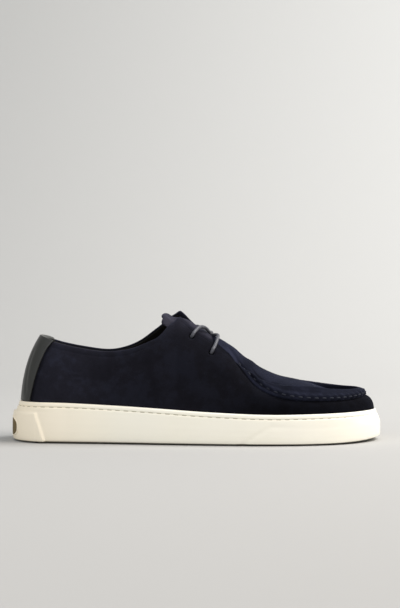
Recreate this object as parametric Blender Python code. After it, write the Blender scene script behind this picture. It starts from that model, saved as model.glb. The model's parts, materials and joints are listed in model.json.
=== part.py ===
"""Low lace-up sneaker for the right foot: a cupsole, a hollow moccasin-toe upper, tongue, footbed,
heel tab and lace. +X points to the toe, -Y to the outer side of the foot and +Z up. The origin is
on the floor, at the middle of the outsole's box."""

import math
from collections import namedtuple

import bmesh
import bpy
import numpy as np
from mathutils import Matrix, Vector

# Driving dimensions, in millimetres
LENGTH = 300.0        # outsole, heel to toe
BALL_WIDTH = 108.0    # outsole at the ball of the foot
INSTEP = 100.0        # top front corner of the facings above the floor
HEEL_HEIGHT = 83.5    # back of the collar above the floor

# Leather, rubber and fits
WALL = 2.0            # suede and lining together
GAP = 0.3             # between neighbouring pieces
HOLE = 4.4            # punched eyelet
CORD = 2.6            # round waxed lace
TAB = 1.3             # heel tab leather
TONGUE = 3.0          # lined tongue
RIM_TUCK = 2.0        # how far the upper leans in between the rim and the floor of the cup
COLUMN = 8.6          # longest step between two columns around the shoe
METRE = 0.001

# One row is a section through the shoe, from the back of the heel to the toe. "foot" is where the
# section leaves the sole's rim and "edge" is its upper end, both as shares of the length in per cent.
# "out" and "in" are the distances to the outer and inner side of the foot as shares of half the ball
# width, "rise" is the height of the edge, and swell and crown are how far the wall stands out from a
# straight line, at its middle and near its top, in millimetres.
Section = namedtuple("Section", "name foot foot_out foot_in edge edge_out edge_in "
                                "rise_out rise_in swell_out swell_in crown")

# Collar: rises are shares of the heel height
QUARTER = [
    Section("heel back",     3.1,  0.0,  0.0,  8.2,  0.0,  0.0, 100.0, 100.0, 3.0, 3.0, 0.6),
    Section("heel corner",   4.7, 32.0, 31.0,  9.4, 27.0, 26.0,  98.9,  98.9, 3.0, 3.0, 0.6),
    Section("heel side",     9.0, 53.0, 51.0, 12.6, 45.5, 43.5,  95.4,  94.6, 2.8, 2.8, 0.8),
    Section("heel front",   17.0, 62.0, 58.0, 18.6, 54.5, 51.5,  90.6,  89.8, 2.2, 2.6, 1.0),
    Section("collar low",   26.5, 67.5, 59.5, 27.4, 58.5, 55.0,  87.0,  87.0, 2.0, 3.0, 1.2),
    Section("collar rise",  34.5, 73.5, 58.5, 34.6, 56.0, 51.0,  91.0,  95.4, 2.0, 4.0, 1.8),
    Section("collar front", 40.0, 78.5, 59.5, 40.3, 47.5, 42.0, 100.4, 110.6, 2.0, 5.0, 3.0),
]
# Facings and apron seam: rises are shares of the instep
VAMP = [
    Section("corner",       45.0, 82.0, 61.5, 45.6, 23.0, 25.0, 98.9, 103.6, 2.0, 5.0, 5.0),
    Section("upper facing", 50.0, 85.5, 66.0, 50.0, 24.5, 24.5, 89.4,  92.5, 2.0, 4.0, 5.0),
    Section("lower facing", 55.0, 88.5, 72.0, 54.8, 27.5, 28.0, 79.9,  82.2, 2.0, 3.0, 4.6),
    Section("throat",       59.3, 90.8, 78.5, 59.0, 37.5, 37.0, 68.7,  70.5, 2.0, 2.0, 3.6),
    Section("seam slope",   63.0, 92.3, 83.0, 62.7, 53.5, 52.5, 54.4,  55.2, 2.0, 1.5, 2.4),
    Section("seam bend",    66.5, 93.0, 86.3, 66.4, 72.0, 69.0, 43.4,  43.8, 1.8, 1.2, 1.4),
    Section("ball",         72.0, 92.6, 89.3, 72.0, 83.5, 80.5, 36.1,  36.4, 1.2, 1.0, 0.8),
    Section("forepart",     79.0, 88.6, 88.5, 79.0, 81.5, 81.5, 33.4,  33.6, 1.0, 1.0, 0.5),
    Section("toe side",     87.0, 75.0, 80.5, 85.8, 69.0, 74.5, 33.0,  33.2, 1.0, 1.0, 0.5),
    Section("toe corner",   93.3, 50.5, 61.5, 91.3, 46.5, 56.5, 33.6,  33.6, 1.0, 1.0, 0.5),
    Section("toe front",    97.2, 21.0, 34.0, 94.9, 18.5, 30.5, 35.2,  35.2, 1.6, 1.6, 0.5),
    Section("toe tip",      98.3, -7.0,  7.0, 96.0, -6.0,  6.0, 35.8,  35.8, 1.6, 1.6, 0.5),
]
# What the front sections carry above the edge: the height of the middle of the instep or apron, and
# the sewn roll, which stands up by "stand" while it leans in by "roll", with the apron lower than its
# top by "dip"; all in millimetres except "middle", which is a share of the instep
Seam = namedtuple("Seam", "name middle stand roll dip")
SEAM = [
    Seam("corner",       101.6,  0.0, 0.0, 0.0),
    Seam("upper facing",  94.6,  0.0, 0.0, 0.0),
    Seam("lower facing",  88.6,  0.0, 0.0, 0.0),
    Seam("throat",        78.0,  0.0, 0.0, 0.0),
    Seam("seam slope",    67.2,  5.5, 3.0, 1.0),
    Seam("seam bend",     59.6,  8.0, 4.5, 1.6),
    Seam("ball",          52.2, 10.5, 6.0, 2.0),
    Seam("forepart",      47.6, 12.3, 6.3, 2.6),
    Seam("toe side",      41.6, 10.0, 5.0, 3.6),
    Seam("toe corner",    37.6,  8.0, 4.0, 4.2),
    Seam("toe front",     36.6,  6.3, 3.2, 4.4),
    Seam("toe tip",       36.6,  5.4, 3.0, 4.4),
]
ROLL_TOP = 2.2        # width of the roll's rounded top
HOLLOW = 2.2          # width of the valley between the roll and the apron

# Side view of the sole: share of the length, rim height, floor of the cup, height of the underside
Rise = namedtuple("Rise", "along rim cup ground")
SOLE = [
    Rise(0.0,   31.6, 14.0, 0.4),
    Rise(4.0,   31.8, 14.0, 0.0),
    Rise(14.0,  31.9, 14.0, 0.0),
    Rise(25.0,  30.6, 13.6, 0.0),
    Rise(38.0,  28.5, 12.4, 0.0),
    Rise(52.0,  25.8, 10.8, 0.0),
    Rise(68.0,  23.9, 10.0, 0.0),
    Rise(80.0,  24.1, 10.0, 0.0),
    Rise(90.0,  24.6, 10.4, 0.5),
    Rise(100.0, 25.2, 11.4, 2.4),
]
# Side wall of the sole, from the rim down: share of its depth, how far it stands out from the foot
# line, and how much of the raised heel panel it carries
Side = namedtuple("Side", "depth out panel")
SIDE_WALL = [
    Side(0.00, 2.2, 0.0),
    Side(0.07, 2.8, 0.0),
    Side(0.25, 4.2, 0.0),
    Side(0.30, 4.5, 1.0),
    Side(0.60, 5.1, 1.0),
    Side(0.86, 4.9, 1.0),
    Side(0.96, 4.1, 0.9),
    Side(1.00, 2.4, 0.6),
]
HEEL_STAND = 1.9      # how much further the wall stands out at the back of the heel
PANEL = 2.3           # how far the heel panel stands out
PANEL_TOP = -127.6    # x of the panel's front edge at its top
PANEL_FOOT = -120.0   # and at the floor
PANEL_BEVEL = 2.0     # run of its front bevel
EDGE_ROUND = 3.0      # width of the underside's rounded edge

# Tread: sunk channels across the heel and the forefoot, and the arch under the waist
CHANNEL = 2.4         # width
CHANNEL_DEPTH = 1.6
CHANNEL_STEP = 12.0
CHANNEL_MARGIN = 9.0  # clear of the edge of the foot line
TREAD = [(-128.0, -68.0), (20.0, 116.0)]
ARCH = (-50.0, 6.0)   # from heel to forefoot
ARCH_RISE = 1.8

# Eyelets: station and height share of the lower and the upper one
EYELETS = [(8.87, 0.765), (7.78, 0.85)]

# Tongue: stations of its sections under the facings, how far it runs under them, how much lower it
# lies under them and at their corners, and its rounded end, as offsets from the first section
TONGUE_STATIONS = [7.0, 7.5, 8.0, 8.5, 9.0, 9.5, 10.0]
TONGUE_TUCK = 0.2
TONGUE_PLAY = 0.25                # added to the gap over it
TONGUE_EASE = 2.5
TONGUE_FRONT = [10.35, 10.75]     # stations of its end under the apron
End = namedtuple("End", "back lift width thick")
TONGUE_END = [
    End(-3.0,  -0.2, 0.90, 3.4),
    End(-6.2,   0.5, 0.84, 4.4),
    End(-9.6,   3.2, 0.82, 5.6),
    End(-12.6,  3.9, 0.74, 5.6),
    End(-14.6,  1.8, 0.58, 2.8),
]

# Heel tab: height shares of its rows, half width at the rim in stations, how much wider it is at the
# top, and the flare above its neck
TAB_SHARES = [0.01, 0.15, 0.32, 0.5, 0.66, 0.8, 0.91, 1.0]
TAB_HALF = 1.40
TAB_SPREAD = 0.40
TAB_FLARE = 0.28
TAB_NECK = 0.78
TAB_COLUMNS = 18

# Lace: the two cords between their eyelets, from the outer to the inner side of the foot
FRONT_CORD = [(15.8, -22.0, 77.8), (18.2, -14.5, 81.6), (17.6, -8.0, 84.6), (14.2, 0.0, 87.8),
              (9.8, 6.4, 90.0), (4.4, 13.2, 92.2), (-0.8, 19.4, 91.2)]
BACK_CORD = [(-1.0, -19.5, 88.0), (2.2, -13.0, 90.8), (5.5, -5.0, 91.6), (8.5, 3.0, 90.8),
             (10.5, 9.0, 89.2), (11.9, 15.2, 87.2), (12.7, 21.7, 81.4)]

# Footbed
INSOLE = 5.0          # thickness
INSOLE_PLAY = 0.1     # added to the gap round its edge

# Height shares of the wall's rows, and steps across the apron
WALL_SHARES = [0.0, 0.15, 0.32, 0.5, 0.66, 0.8, 0.91, 1.0]
CUP_DEPTHS = [1.0, 0.5]
ACROSS = 6
UP = np.array([0.0, 0.0, 1.0])

SECTIONS = QUARTER + VAMP
LAST = len(SECTIONS) - 1          # toe tip
LOOP = 2 * LAST                   # stations around the shoe
CORNER = len(QUARTER)             # facing corner
THROAT = CORNER + 3               # where the apron seam starts


def along(share):
    """x of a share of the length."""
    return LENGTH * (share / 100 - 0.5)


def out(share):
    """Distance from the middle line of a share of half the ball width."""
    return BALL_WIDTH / 2 * share / 100


def station_rows():
    """Foot and edge of each station of the loop: down the outer side, round the toe and back."""
    foot, edge = [], []
    for k in range(LOOP):
        outer = k <= LAST
        index = k if outer else LOOP - k
        row, seam = SECTIONS[index], SEAM[max(index - CORNER, 0)]
        y_foot = -out(row.foot_out) if outer else out(row.foot_in)
        y_edge = -out(row.edge_out) if outer else out(row.edge_in)
        rise = row.rise_out if outer else row.rise_in
        z_edge = rise / 100 * (HEEL_HEIGHT if index < CORNER else INSTEP)
        swell = row.swell_out if outer else row.swell_in
        foot.append((along(row.foot), y_foot, swell, row.crown))
        edge.append((along(row.edge), y_edge, z_edge, seam.middle / 100 * INSTEP,
                     seam.stand, seam.roll, seam.dip))
    return np.array(foot), np.array(edge)


def blend(start, end, slope, end_slope, step, f):
    """Smooth step from start to end: f runs from 0 to 1, and the slopes are per unit of step."""
    return (start * (1 + 2 * f) * (1 - f) ** 2 + end * f * f * (3 - 2 * f)
            + slope * step * f * (1 - f) ** 2 - end_slope * step * f * f * (1 - f))


def loop_curve(rows, size, sharp=()):
    """Smooth closed curve through the rows; t counts stations, and sharp stations keep a corner."""
    count = len(rows)
    steps = [rows[(k + 1) % count] - rows[k] for k in range(count)]
    lengths = [float(np.linalg.norm(step[:size])) for step in steps]
    slopes = [step / length for step, length in zip(steps, lengths)]
    turn = []
    for k in range(count):
        before, after = lengths[k - 1], lengths[k]
        turn.append((after * slopes[k - 1] + before * slopes[k]) / (before + after))

    def at(t):
        k = int(math.floor(t)) % count
        after = (k + 1) % count
        start = slopes[k] if k in sharp else turn[k]
        end = slopes[k] if after in sharp else turn[after]
        return blend(rows[k], rows[after], start, end, lengths[k], t - math.floor(t))

    return at


def open_curve(rows):
    """Smooth open curve through the rows; t counts rows."""
    def at(t):
        k = min(int(t), len(rows) - 2)
        start = (rows[k + 1] - rows[max(k - 1, 0)]) / 2
        end = (rows[min(k + 2, len(rows) - 1)] - rows[k]) / 2
        return blend(rows[k], rows[k + 1], start, end, 1.0, t - k)

    return at


FOOT_ROWS, EDGE_ROWS = station_rows()
foot_line = loop_curve(FOOT_ROWS, 2)
edge_line = loop_curve(EDGE_ROWS, 3, sharp=(CORNER, LOOP - CORNER))
side_view = open_curve(np.array(SOLE, dtype=float))
SIDE_X = [along(row.along) for row in SOLE]


def sole_height(x, column):
    """Rim, cup floor or underside height at x."""
    t = np.interp(x, SIDE_X, range(len(SOLE)))
    return side_view(t)[Rise._fields.index(column)]


def plan_normal(t):
    """Level unit vector that points away from the foot at t."""
    step = foot_line(t + 0.01)[:2] - foot_line(t - 0.01)[:2]
    return np.array([step[1], -step[0], 0.0]) / np.linalg.norm(step)


def wall(t, v):
    """Outer surface of the upper: v is 0 at the rim and 1 at the edge."""
    foot, edge = foot_line(t), edge_line(t)
    start = np.array([foot[0], foot[1], sole_height(foot[0], "rim")])
    chord = edge[:3] - start
    normal = plan_normal(t)
    stand = normal * chord[2] - UP * (chord @ normal)
    stand /= np.linalg.norm(stand)
    bulge = 4 * v * (1 - v) * foot[2] + 6.75 * v * v * (1 - v) * foot[3]
    return start + chord * v + stand * bulge


def wall_normal(t, v):
    """Unit vector out of the upper's wall."""
    low, high = max(v - 0.02, 0.0), min(v + 0.02, 1.0)
    normal = np.cross(wall(t + 0.02, v) - wall(t - 0.02, v), wall(t, high) - wall(t, low))
    normal /= np.linalg.norm(normal)
    return normal if normal @ plan_normal(t) > 0 else -normal


def below_rim(t, depth, offset):
    """Point of the upper inside the cup: depth is 0 at the rim and 1 at the floor of the cup."""
    foot = foot_line(t)
    top = sole_height(foot[0], "rim")
    bottom = sole_height(foot[0], "cup") + GAP
    place = np.array([foot[0], foot[1], top + (bottom - top) * depth])
    return place + plan_normal(t) * (offset - RIM_TUCK * depth * depth)


def roll_points(t):
    """Outer side, top and inner side of the sewn roll, and the side of the apron, at t."""
    edge = edge_line(t)
    stand, roll, dip = edge[4:7]
    inward = -plan_normal(t)
    grown = min(stand / 5.0, 1.0)
    base = edge[:3]
    return [base + UP * stand * 0.30 - inward * 0.5 * grown,
            base + UP * stand * 0.70 + inward * roll * 0.35,
            base + UP * stand + inward * roll,
            base + UP * stand * 0.96 + inward * (roll + ROLL_TOP * grown),
            base + UP * (stand - dip) + inward * (roll + (ROLL_TOP + HOLLOW) * grown)]


def instep(t, share):
    """Outer surface between the two sides, from the facings' corners to the toe: throat and apron."""
    side_out, side_in = roll_points(t)[-1], roll_points(LOOP - t)[-1]
    level = (side_out[2] + side_in[2]) / 2
    arch = UP * (edge_line(t)[3] - level) * 4 * share * (1 - share)
    return side_out + (side_in - side_out) * share + arch


def instep_normal(t, share):
    """Unit vector out of the throat or apron."""
    low, high = max(share - 0.02, 0.0), min(share + 0.02, 1.0)
    ahead = instep(min(t + 0.02, LAST - 0.01), share) - instep(t - 0.02, share)
    normal = np.cross(ahead, instep(t, high) - instep(t, low))
    return normal / np.linalg.norm(normal)


def columns():
    """Values of t around the shoe, in even steps from each station to the next."""
    places = []
    for k in range(LOOP):
        low = min(k, LOOP - 1 - k)
        chord = np.linalg.norm(FOOT_ROWS[low + 1][:2] - FOOT_ROWS[low][:2])
        steps = max(2, math.ceil(chord / COLUMN))
        places += [k + f / steps for f in range(steps)]
    return places


class Shape:
    """Points and faces that a piece is put together from."""

    def __init__(self):
        self.points = []
        self.faces = []

    def add(self, places):
        """Append points and return their numbers."""
        first = len(self.points)
        self.points += [np.asarray(p, dtype=float) for p in places]
        return list(range(first, len(self.points)))

    def bridge(self, one, two, closed=False):
        """Quads between two rows of the same length."""
        for k in range(len(one) if closed else len(one) - 1):
            after = (k + 1) % len(one)
            self.faces.append((one[k], one[after], two[after], two[k]))

    def stack(self, rows, closed=False):
        """Quads between each row and the next."""
        for one, two in zip(rows, rows[1:]):
            self.bridge(one, two, closed)

    def span(self, ring, across, height):
        """Fill a ring around the shoe with lines from its outer to its inner side."""
        half = len(ring) // 2
        lines = []
        for k in range(1, half):
            a, b = self.points[ring[k]], self.points[ring[-k]]
            inside = [a + (b - a) * f / across for f in range(1, across)]
            inside = [np.array([p[0], p[1], height(p[0])]) for p in inside]
            lines.append([ring[k]] + self.add(inside) + [ring[-k]])
        self.stack(lines)
        self.fan(lines[0], ring[0])
        self.fan(lines[-1], ring[half])

    def fan(self, line, tip):
        """Triangles from a line to one point."""
        for a, b in zip(line, line[1:]):
            self.faces.append((a, b, tip))

    def mesh(self, name):
        """The shape as a closed mesh in metres, facing outwards."""
        model = bmesh.new()
        points = [model.verts.new(Vector(p) * METRE) for p in self.points]
        for face in self.faces:
            model.faces.new([points[k] for k in face])
        bmesh.ops.remove_doubles(model, verts=model.verts, dist=0.00001)
        bmesh.ops.recalc_face_normals(model, faces=model.faces)
        mesh = bpy.data.meshes.new(name)
        model.to_mesh(mesh)
        model.free()
        return mesh


def place(name, mesh):
    """Put a mesh into the scene as an object."""
    thing = bpy.data.objects.new(name, mesh)
    bpy.context.scene.collection.objects.link(thing)
    return thing


def piece(name, shape, colour, roughness):
    """A sub-part with its own material."""
    mesh = shape.mesh(name)
    mesh.shade_smooth()
    mesh.set_sharp_from_angle(angle=math.radians(40))
    material = bpy.data.materials.new(name)
    material.use_nodes = True
    shader = material.node_tree.nodes["Principled BSDF"]
    shader.inputs["Base Color"].default_value = (*colour, 1.0)
    shader.inputs["Roughness"].default_value = roughness
    mesh.materials.append(material)
    return place(name, mesh)


def combine(thing, name, mesh, operation):
    """Cut a hidden mesh out of a piece, or join it on."""
    tool = place(name, mesh)
    tool.hide_render = True
    tool.display_type = "WIRE"
    boolean = thing.modifiers.new(name, "BOOLEAN")
    boolean.object = tool
    boolean.operation = operation


def underside(x):
    """Height of the underside inside its edge, with the arch."""
    start, end = ARCH
    rise = math.sin(math.pi * (x - start) / (end - start)) ** 2 if start < x < end else 0.0
    return sole_height(x, "ground") + ARCH_RISE * rise


def tread_channels():
    """Straight bars that sink the channels of the tread, clear of the sole's edge."""
    outline = [foot_line(t) for t in columns()]
    half = len(outline) // 2

    def nearest(side, x):
        """y of the point of one side of the foot line that lies nearest to x."""
        return min(side, key=lambda p: abs(p[0] - x))[1]

    model = bmesh.new()
    for start, end in TREAD:
        for k in range(int((end - start) / CHANNEL_STEP) + 1):
            x = start + k * CHANNEL_STEP
            low = nearest(outline[:half], x) + CHANNEL_MARGIN
            high = nearest(outline[half:], x) - CHANNEL_MARGIN
            top = sole_height(x, "ground") + CHANNEL_DEPTH
            size = Vector((CHANNEL, high - low, 2 * top)) * METRE
            middle = Vector((x, (low + high) / 2, 0.0)) * METRE
            turn = Matrix.Translation(middle) @ Matrix.Diagonal((*size, 1.0))
            bmesh.ops.create_cube(model, size=1.0, matrix=turn)
    mesh = bpy.data.meshes.new("tread channels")
    model.to_mesh(mesh)
    model.free()
    return mesh


def make_sole():
    """Cream rubber cupsole: cup, side wall with its heel panel, and the tread."""
    shape = Shape()
    stations = columns()
    behind, at_edge, before = stations[stations.index(2) - 1:stations.index(2) + 2]
    per_station = 2 * (foot_line(2.5)[0] - foot_line(2.0)[0])

    def side_point(t, side):
        """Point of the side wall; the columns at the panel's front edge follow its slant."""
        near = min(t, LOOP - t)
        raised = PANEL * side.panel if near <= at_edge else 0.0
        if near == behind:
            near -= 0.12
        elif near in (at_edge, before):
            edge = PANEL_TOP + (PANEL_FOOT - PANEL_TOP) * side.depth
            edge += PANEL_BEVEL if near == before else 0.0
            near = 2.0 + (edge - foot_line(2.0)[0]) / per_station
        moved = near if t < LAST else LOOP - near
        foot = foot_line(moved)
        rim, ground = sole_height(foot[0], "rim"), sole_height(foot[0], "ground")
        spot = np.array([foot[0], foot[1], rim + (ground - rim) * side.depth])
        heel = HEEL_STAND * max(1.0 - near / 2, 0.0) ** 0.5 if near < 2 else 0.0
        return spot + plan_normal(moved) * (side.out + raised + heel)

    cup = [shape.add([below_rim(t, depth, GAP) - UP * GAP * depth for t in stations])
           for depth in CUP_DEPTHS + [0.0]]
    sides = [shape.add([side_point(t, side) for t in stations]) for side in SIDE_WALL]
    under = []
    for t, k in zip(stations, sides[-1]):
        spot = shape.points[k] - plan_normal(t) * EDGE_ROUND
        under.append(np.array([spot[0], spot[1], sole_height(spot[0], "ground")]))
    under = shape.add(under)
    shape.stack(cup + sides + [under], closed=True)
    shape.span(cup[0], 4, lambda x: sole_height(x, "cup"))
    shape.span(under, 6, underside)
    sole = piece("sole", shape, (0.86, 0.82, 0.70), 0.5)
    combine(sole, "tread channels", tread_channels(), "DIFFERENCE")


def eyelets():
    """Stations and height shares of the four eyelets: lower and upper, outer side first."""
    return [(LOOP - t if inner else t, v) for inner in (False, True) for t, v in EYELETS]


def eyelet_pins():
    """Round pins that punch the eyelets through the facings."""
    model = bmesh.new()
    for t, v in eyelets():
        turn = Vector(wall_normal(t, v)).to_track_quat("Z", "Y").to_matrix().to_4x4()
        middle = Matrix.Translation(Vector(wall(t, v)) * METRE)
        bmesh.ops.create_cone(model, cap_ends=True, segments=12, radius1=HOLE / 2 * METRE,
                              radius2=HOLE / 2 * METRE, depth=12 * METRE, matrix=middle @ turn)
    mesh = bpy.data.meshes.new("eyelet pins")
    model.to_mesh(mesh)
    model.free()
    return mesh


def make_upper():
    """Suede upper, one hollow shell: quarters and vamp wall, sewn roll and apron."""
    shape = Shape()
    stations = columns()
    outer = [shape.add([below_rim(t, depth, 0.0) for t in stations]) for depth in CUP_DEPTHS]
    inner = [shape.add([below_rim(t, depth, -WALL) for t in stations]) for depth in CUP_DEPTHS]
    for v in WALL_SHARES:
        outer.append(shape.add([wall(t, v) for t in stations]))
        inner.append(shape.add([wall(t, v) - wall_normal(t, v) * WALL for t in stations]))
    shape.stack(outer, closed=True)
    shape.stack(inner, closed=True)
    shape.bridge(outer[0], inner[0], closed=True)

    # The collar and the facings are a free edge, behind the seam's two ends
    first, last = stations.index(THROAT), stations.index(LOOP - THROAT)
    free = list(range(last, len(stations))) + list(range(first + 1))
    shape.bridge([outer[-1][k] for k in free], [inner[-1][k] for k in free])

    # In front of them the wall carries the roll, and the apron closes it over the toes
    front = stations[first:last + 1]
    half = len(front) // 2
    rolls = list(zip(*[roll_points(t) for t in front]))
    skin = [outer[-1][first:last + 1]] + [shape.add(row) for row in rolls]
    lined = []
    for spot, t in zip(rolls[-1], front):
        side = (t, 0.0) if t < LAST else (LOOP - t, 1.0)
        lined.append(spot - (UP if t == LAST else instep_normal(*side)) * WALL)
    lined[0], lined[-1] = (shape.points[inner[-1][k]] for k in (first, last))
    lining = [inner[-1][first:last + 1], shape.add(lined)]
    shape.stack(skin)
    shape.stack(lining)

    def apron(side, drop):
        """Fill between the two sides, and return the free line at the throat."""
        lines = []
        for k in range(half):
            shares = [f / ACROSS for f in range(1, ACROSS)]
            inside = [instep(front[k], f) - instep_normal(front[k], f) * drop for f in shares]
            lines.append([side[k]] + shape.add(inside) + [side[-1 - k]])
        shape.stack(lines)
        shape.fan(lines[-1], side[half])
        return lines[0]

    shape.bridge(apron(skin[-1], 0.0), apron(lining[-1], WALL))
    upper = piece("upper", shape, (0.012, 0.012, 0.022), 0.9)
    combine(upper, "eyelet pins", eyelet_pins(), "DIFFERENCE")


def make_insole():
    """Footbed on the floor of the cup, inside the upper."""
    shape = Shape()
    inset = -(WALL + GAP + INSOLE_PLAY)
    bottom = shape.add([below_rim(t, 1.0, inset) for t in columns()])
    top = shape.add([shape.points[k] + UP * INSOLE for k in bottom])
    shape.bridge(bottom, top, closed=True)
    shape.span(bottom, 4, lambda x: sole_height(x, "cup") + GAP)
    shape.span(top, 4, lambda x: sole_height(x, "cup") + GAP + INSOLE)
    piece("insole", shape, (0.02, 0.018, 0.016), 0.7)


def tongue_section(t):
    """Outer surface across the shoe at t, from under one facing to under the other, with normals."""
    tuck = 1.0 - TONGUE_TUCK * min(THROAT - t, 2.0) / 2
    outer = [(wall(t, v), wall_normal(t, v)) for v in (tuck, (1 + tuck) / 2)]
    inner = [(wall(LOOP - t, v), wall_normal(LOOP - t, v)) for v in ((1 + tuck) / 2, tuck)]
    return outer + [(instep(t, f / 5), instep_normal(t, f / 5)) for f in range(6)] + inner


def make_tongue():
    """Lined tongue under the facings, tucked under the apron, with a thick rounded top."""
    shape = Shape()
    rows = [tongue_section(t) for t in TONGUE_STATIONS]
    count = len(rows[0])
    for t in TONGUE_FRONT:
        shares = [0.05 + 0.9 * f / (count - 1) for f in range(count)]
        rows.append([(instep(t, f), instep_normal(t, f)) for f in shares])
    under = [WALL + GAP + TONGUE_PLAY + TONGUE_EASE * max(1.0 - (t - CORNER), 0.0)
             for t in TONGUE_STATIONS + TONGUE_FRONT]
    tops = [[p - n * low for p, n in row] for row, low in zip(rows, under)]
    bases = [[p - n * (low + TONGUE) for p, n in row] for row, low in zip(rows, under)]

    first = tops[0]
    centre = (first[count // 2 - 1] + first[count // 2]) / 2
    down = [(b - a) / TONGUE for a, b in zip(first, bases[0])]
    for end in TONGUE_END:
        spread = np.array([1.0, end.width, 1.0])
        shift = np.array([end.back, 0.0, end.lift])
        top = [centre + (p - centre) * spread + shift for p in first]
        tops.insert(0, top)
        bases.insert(0, [p + n * end.thick for p, n in zip(top, down)])

    top = [shape.add(row) for row in tops]
    base = [shape.add(row) for row in bases]
    shape.stack(top)
    shape.stack(base)
    for side in (0, -1):
        shape.bridge([row[side] for row in top], [row[side] for row in base])
        shape.bridge(top[side], base[side])
    piece("tongue", shape, (0.014, 0.014, 0.025), 0.9)


def make_backtab():
    """Leather strip over the back seam, between two larger forms of the upper."""
    shape = Shape()
    layers = []
    for stand in (GAP, GAP + TAB):
        rows = []
        for v in TAB_SHARES:
            flare = max((v - TAB_NECK) / (1 - TAB_NECK), 0.0) ** 2
            half = TAB_HALF + TAB_SPREAD * v + TAB_FLARE * flare
            spread = [half * (2 * f / TAB_COLUMNS - 1) for f in range(TAB_COLUMNS + 1)]
            rows.append(shape.add([wall(t, v) + wall_normal(t, v) * stand for t in spread]))
        shape.stack(rows)
        layers.append(rows)
    inside, outside = layers
    for end in (0, -1):
        shape.bridge(inside[end], outside[end])
        shape.bridge([row[end] for row in inside], [row[end] for row in outside])
    piece("backtab", shape, (0.03, 0.03, 0.029), 0.45)


def cord_points(start, middle, end):
    """Smooth route of a cord that dips into an eyelet at each end."""
    def dip(t, v):
        return [wall(t, v) - wall_normal(t, v) * 0.6, wall(t, v) + wall_normal(t, v) * 1.8]

    route = dip(*start) + [np.array(p) for p in middle] + dip(*end)[::-1]
    curve = open_curve(np.array(route))
    return [curve(k / 3) for k in range(3 * (len(route) - 1) + 1)]


def tube(points, radius, sides=8):
    """Closed round tube along the points."""
    shape = Shape()
    rings = []
    across = UP
    for k, middle in enumerate(points):
        run = points[min(k + 1, len(points) - 1)] - points[max(k - 1, 0)]
        run = run / np.linalg.norm(run)
        across = across - run * (across @ run)
        across = across / np.linalg.norm(across)
        other = np.cross(run, across)
        turns = [2 * math.pi * j / sides for j in range(sides)]
        rings.append(shape.add([middle + (across * math.cos(a) + other * math.sin(a)) * radius
                                for a in turns]))
    shape.stack(rings, closed=True)
    shape.faces += [tuple(rings[0]), tuple(rings[-1])]
    return shape


def make_lace():
    """The two crossings of the lace, joined where one lies on the other."""
    lower_out, upper_out, lower_in, upper_in = eyelets()
    lace = piece("lace", tube(cord_points(lower_out, FRONT_CORD, upper_in), CORD / 2),
                 (0.05, 0.05, 0.06), 0.5)
    back = tube(cord_points(upper_out, BACK_CORD, lower_in), CORD / 2)
    combine(lace, "back cord", back.mesh("back cord"), "UNION")


for leftover in list(bpy.data.objects):
    bpy.data.objects.remove(leftover)

make_sole()
make_upper()
make_insole()
make_tongue()
make_backtab()
make_lace()
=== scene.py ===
"""Low moccasin-toe sneaker for the right foot, in navy suede on a cream rubber cupsole. +X points to
the toe, -Y to the outer side of the foot and +Z up. The last is worked out in millimetres and every
piece is laid on it, then brought to metres."""

import functools
import json
import math
from collections import namedtuple

import bmesh
import bpy
import numpy as np
from mathutils import Matrix, Vector

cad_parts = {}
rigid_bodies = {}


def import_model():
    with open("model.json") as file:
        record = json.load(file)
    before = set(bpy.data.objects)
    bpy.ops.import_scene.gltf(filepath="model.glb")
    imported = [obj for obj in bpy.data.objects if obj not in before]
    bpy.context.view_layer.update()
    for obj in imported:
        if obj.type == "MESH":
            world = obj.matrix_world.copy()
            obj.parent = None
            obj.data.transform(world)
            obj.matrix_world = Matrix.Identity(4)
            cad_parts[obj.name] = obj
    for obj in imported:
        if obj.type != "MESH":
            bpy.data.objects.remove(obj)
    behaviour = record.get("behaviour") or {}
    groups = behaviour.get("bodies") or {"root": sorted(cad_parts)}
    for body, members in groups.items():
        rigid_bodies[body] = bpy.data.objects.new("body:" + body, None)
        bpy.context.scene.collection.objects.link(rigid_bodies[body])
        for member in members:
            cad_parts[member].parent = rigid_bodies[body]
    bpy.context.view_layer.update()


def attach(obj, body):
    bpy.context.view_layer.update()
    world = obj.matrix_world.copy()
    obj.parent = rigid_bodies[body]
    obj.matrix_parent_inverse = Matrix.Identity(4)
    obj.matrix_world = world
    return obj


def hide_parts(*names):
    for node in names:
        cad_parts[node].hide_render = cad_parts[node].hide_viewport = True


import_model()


# ---- Studio -------------------------------------------------------------------------------------
# A pale paper sweep under soft light: a large softbox high on the toe side, a weaker one over the
# heel, a lamp on the backdrop and an even room light. The camera looks level at the outer side.

SWEEP_GREY, SWEEP_BACK = "b3b3b1", 1.7      # the floor's back edge is past this y, in m
LENS = 72.83                      # mm on a 36 mm frame height
EYE = (0.0032, -1.0, 0.1095)      # m


def linear(code):
    """Linear colour of an sRGB hex code."""
    parts = [int(code[k:k + 2], 16) / 255 for k in (0, 2, 4)]
    return [p / 12.92 if p <= 0.04045 else ((p + 0.055) / 1.055) ** 2.4 for p in parts] + [1.0]


def new_material(name, **sockets):
    """A material whose shader has these values on its own sockets."""
    material = bpy.data.materials.new(name)
    material.use_nodes = True
    shader = material.node_tree.nodes["Principled BSDF"]
    for socket, value in sockets.items():
        shader.inputs[socket.replace("_", " ")].default_value = value
    return material


def deselect():
    """Leave nothing selected."""
    if bpy.context.object and bpy.context.object.mode != "OBJECT":
        bpy.ops.object.mode_set(mode="OBJECT")
    for thing in bpy.context.view_layer.objects:
        thing.select_set(False)


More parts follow.
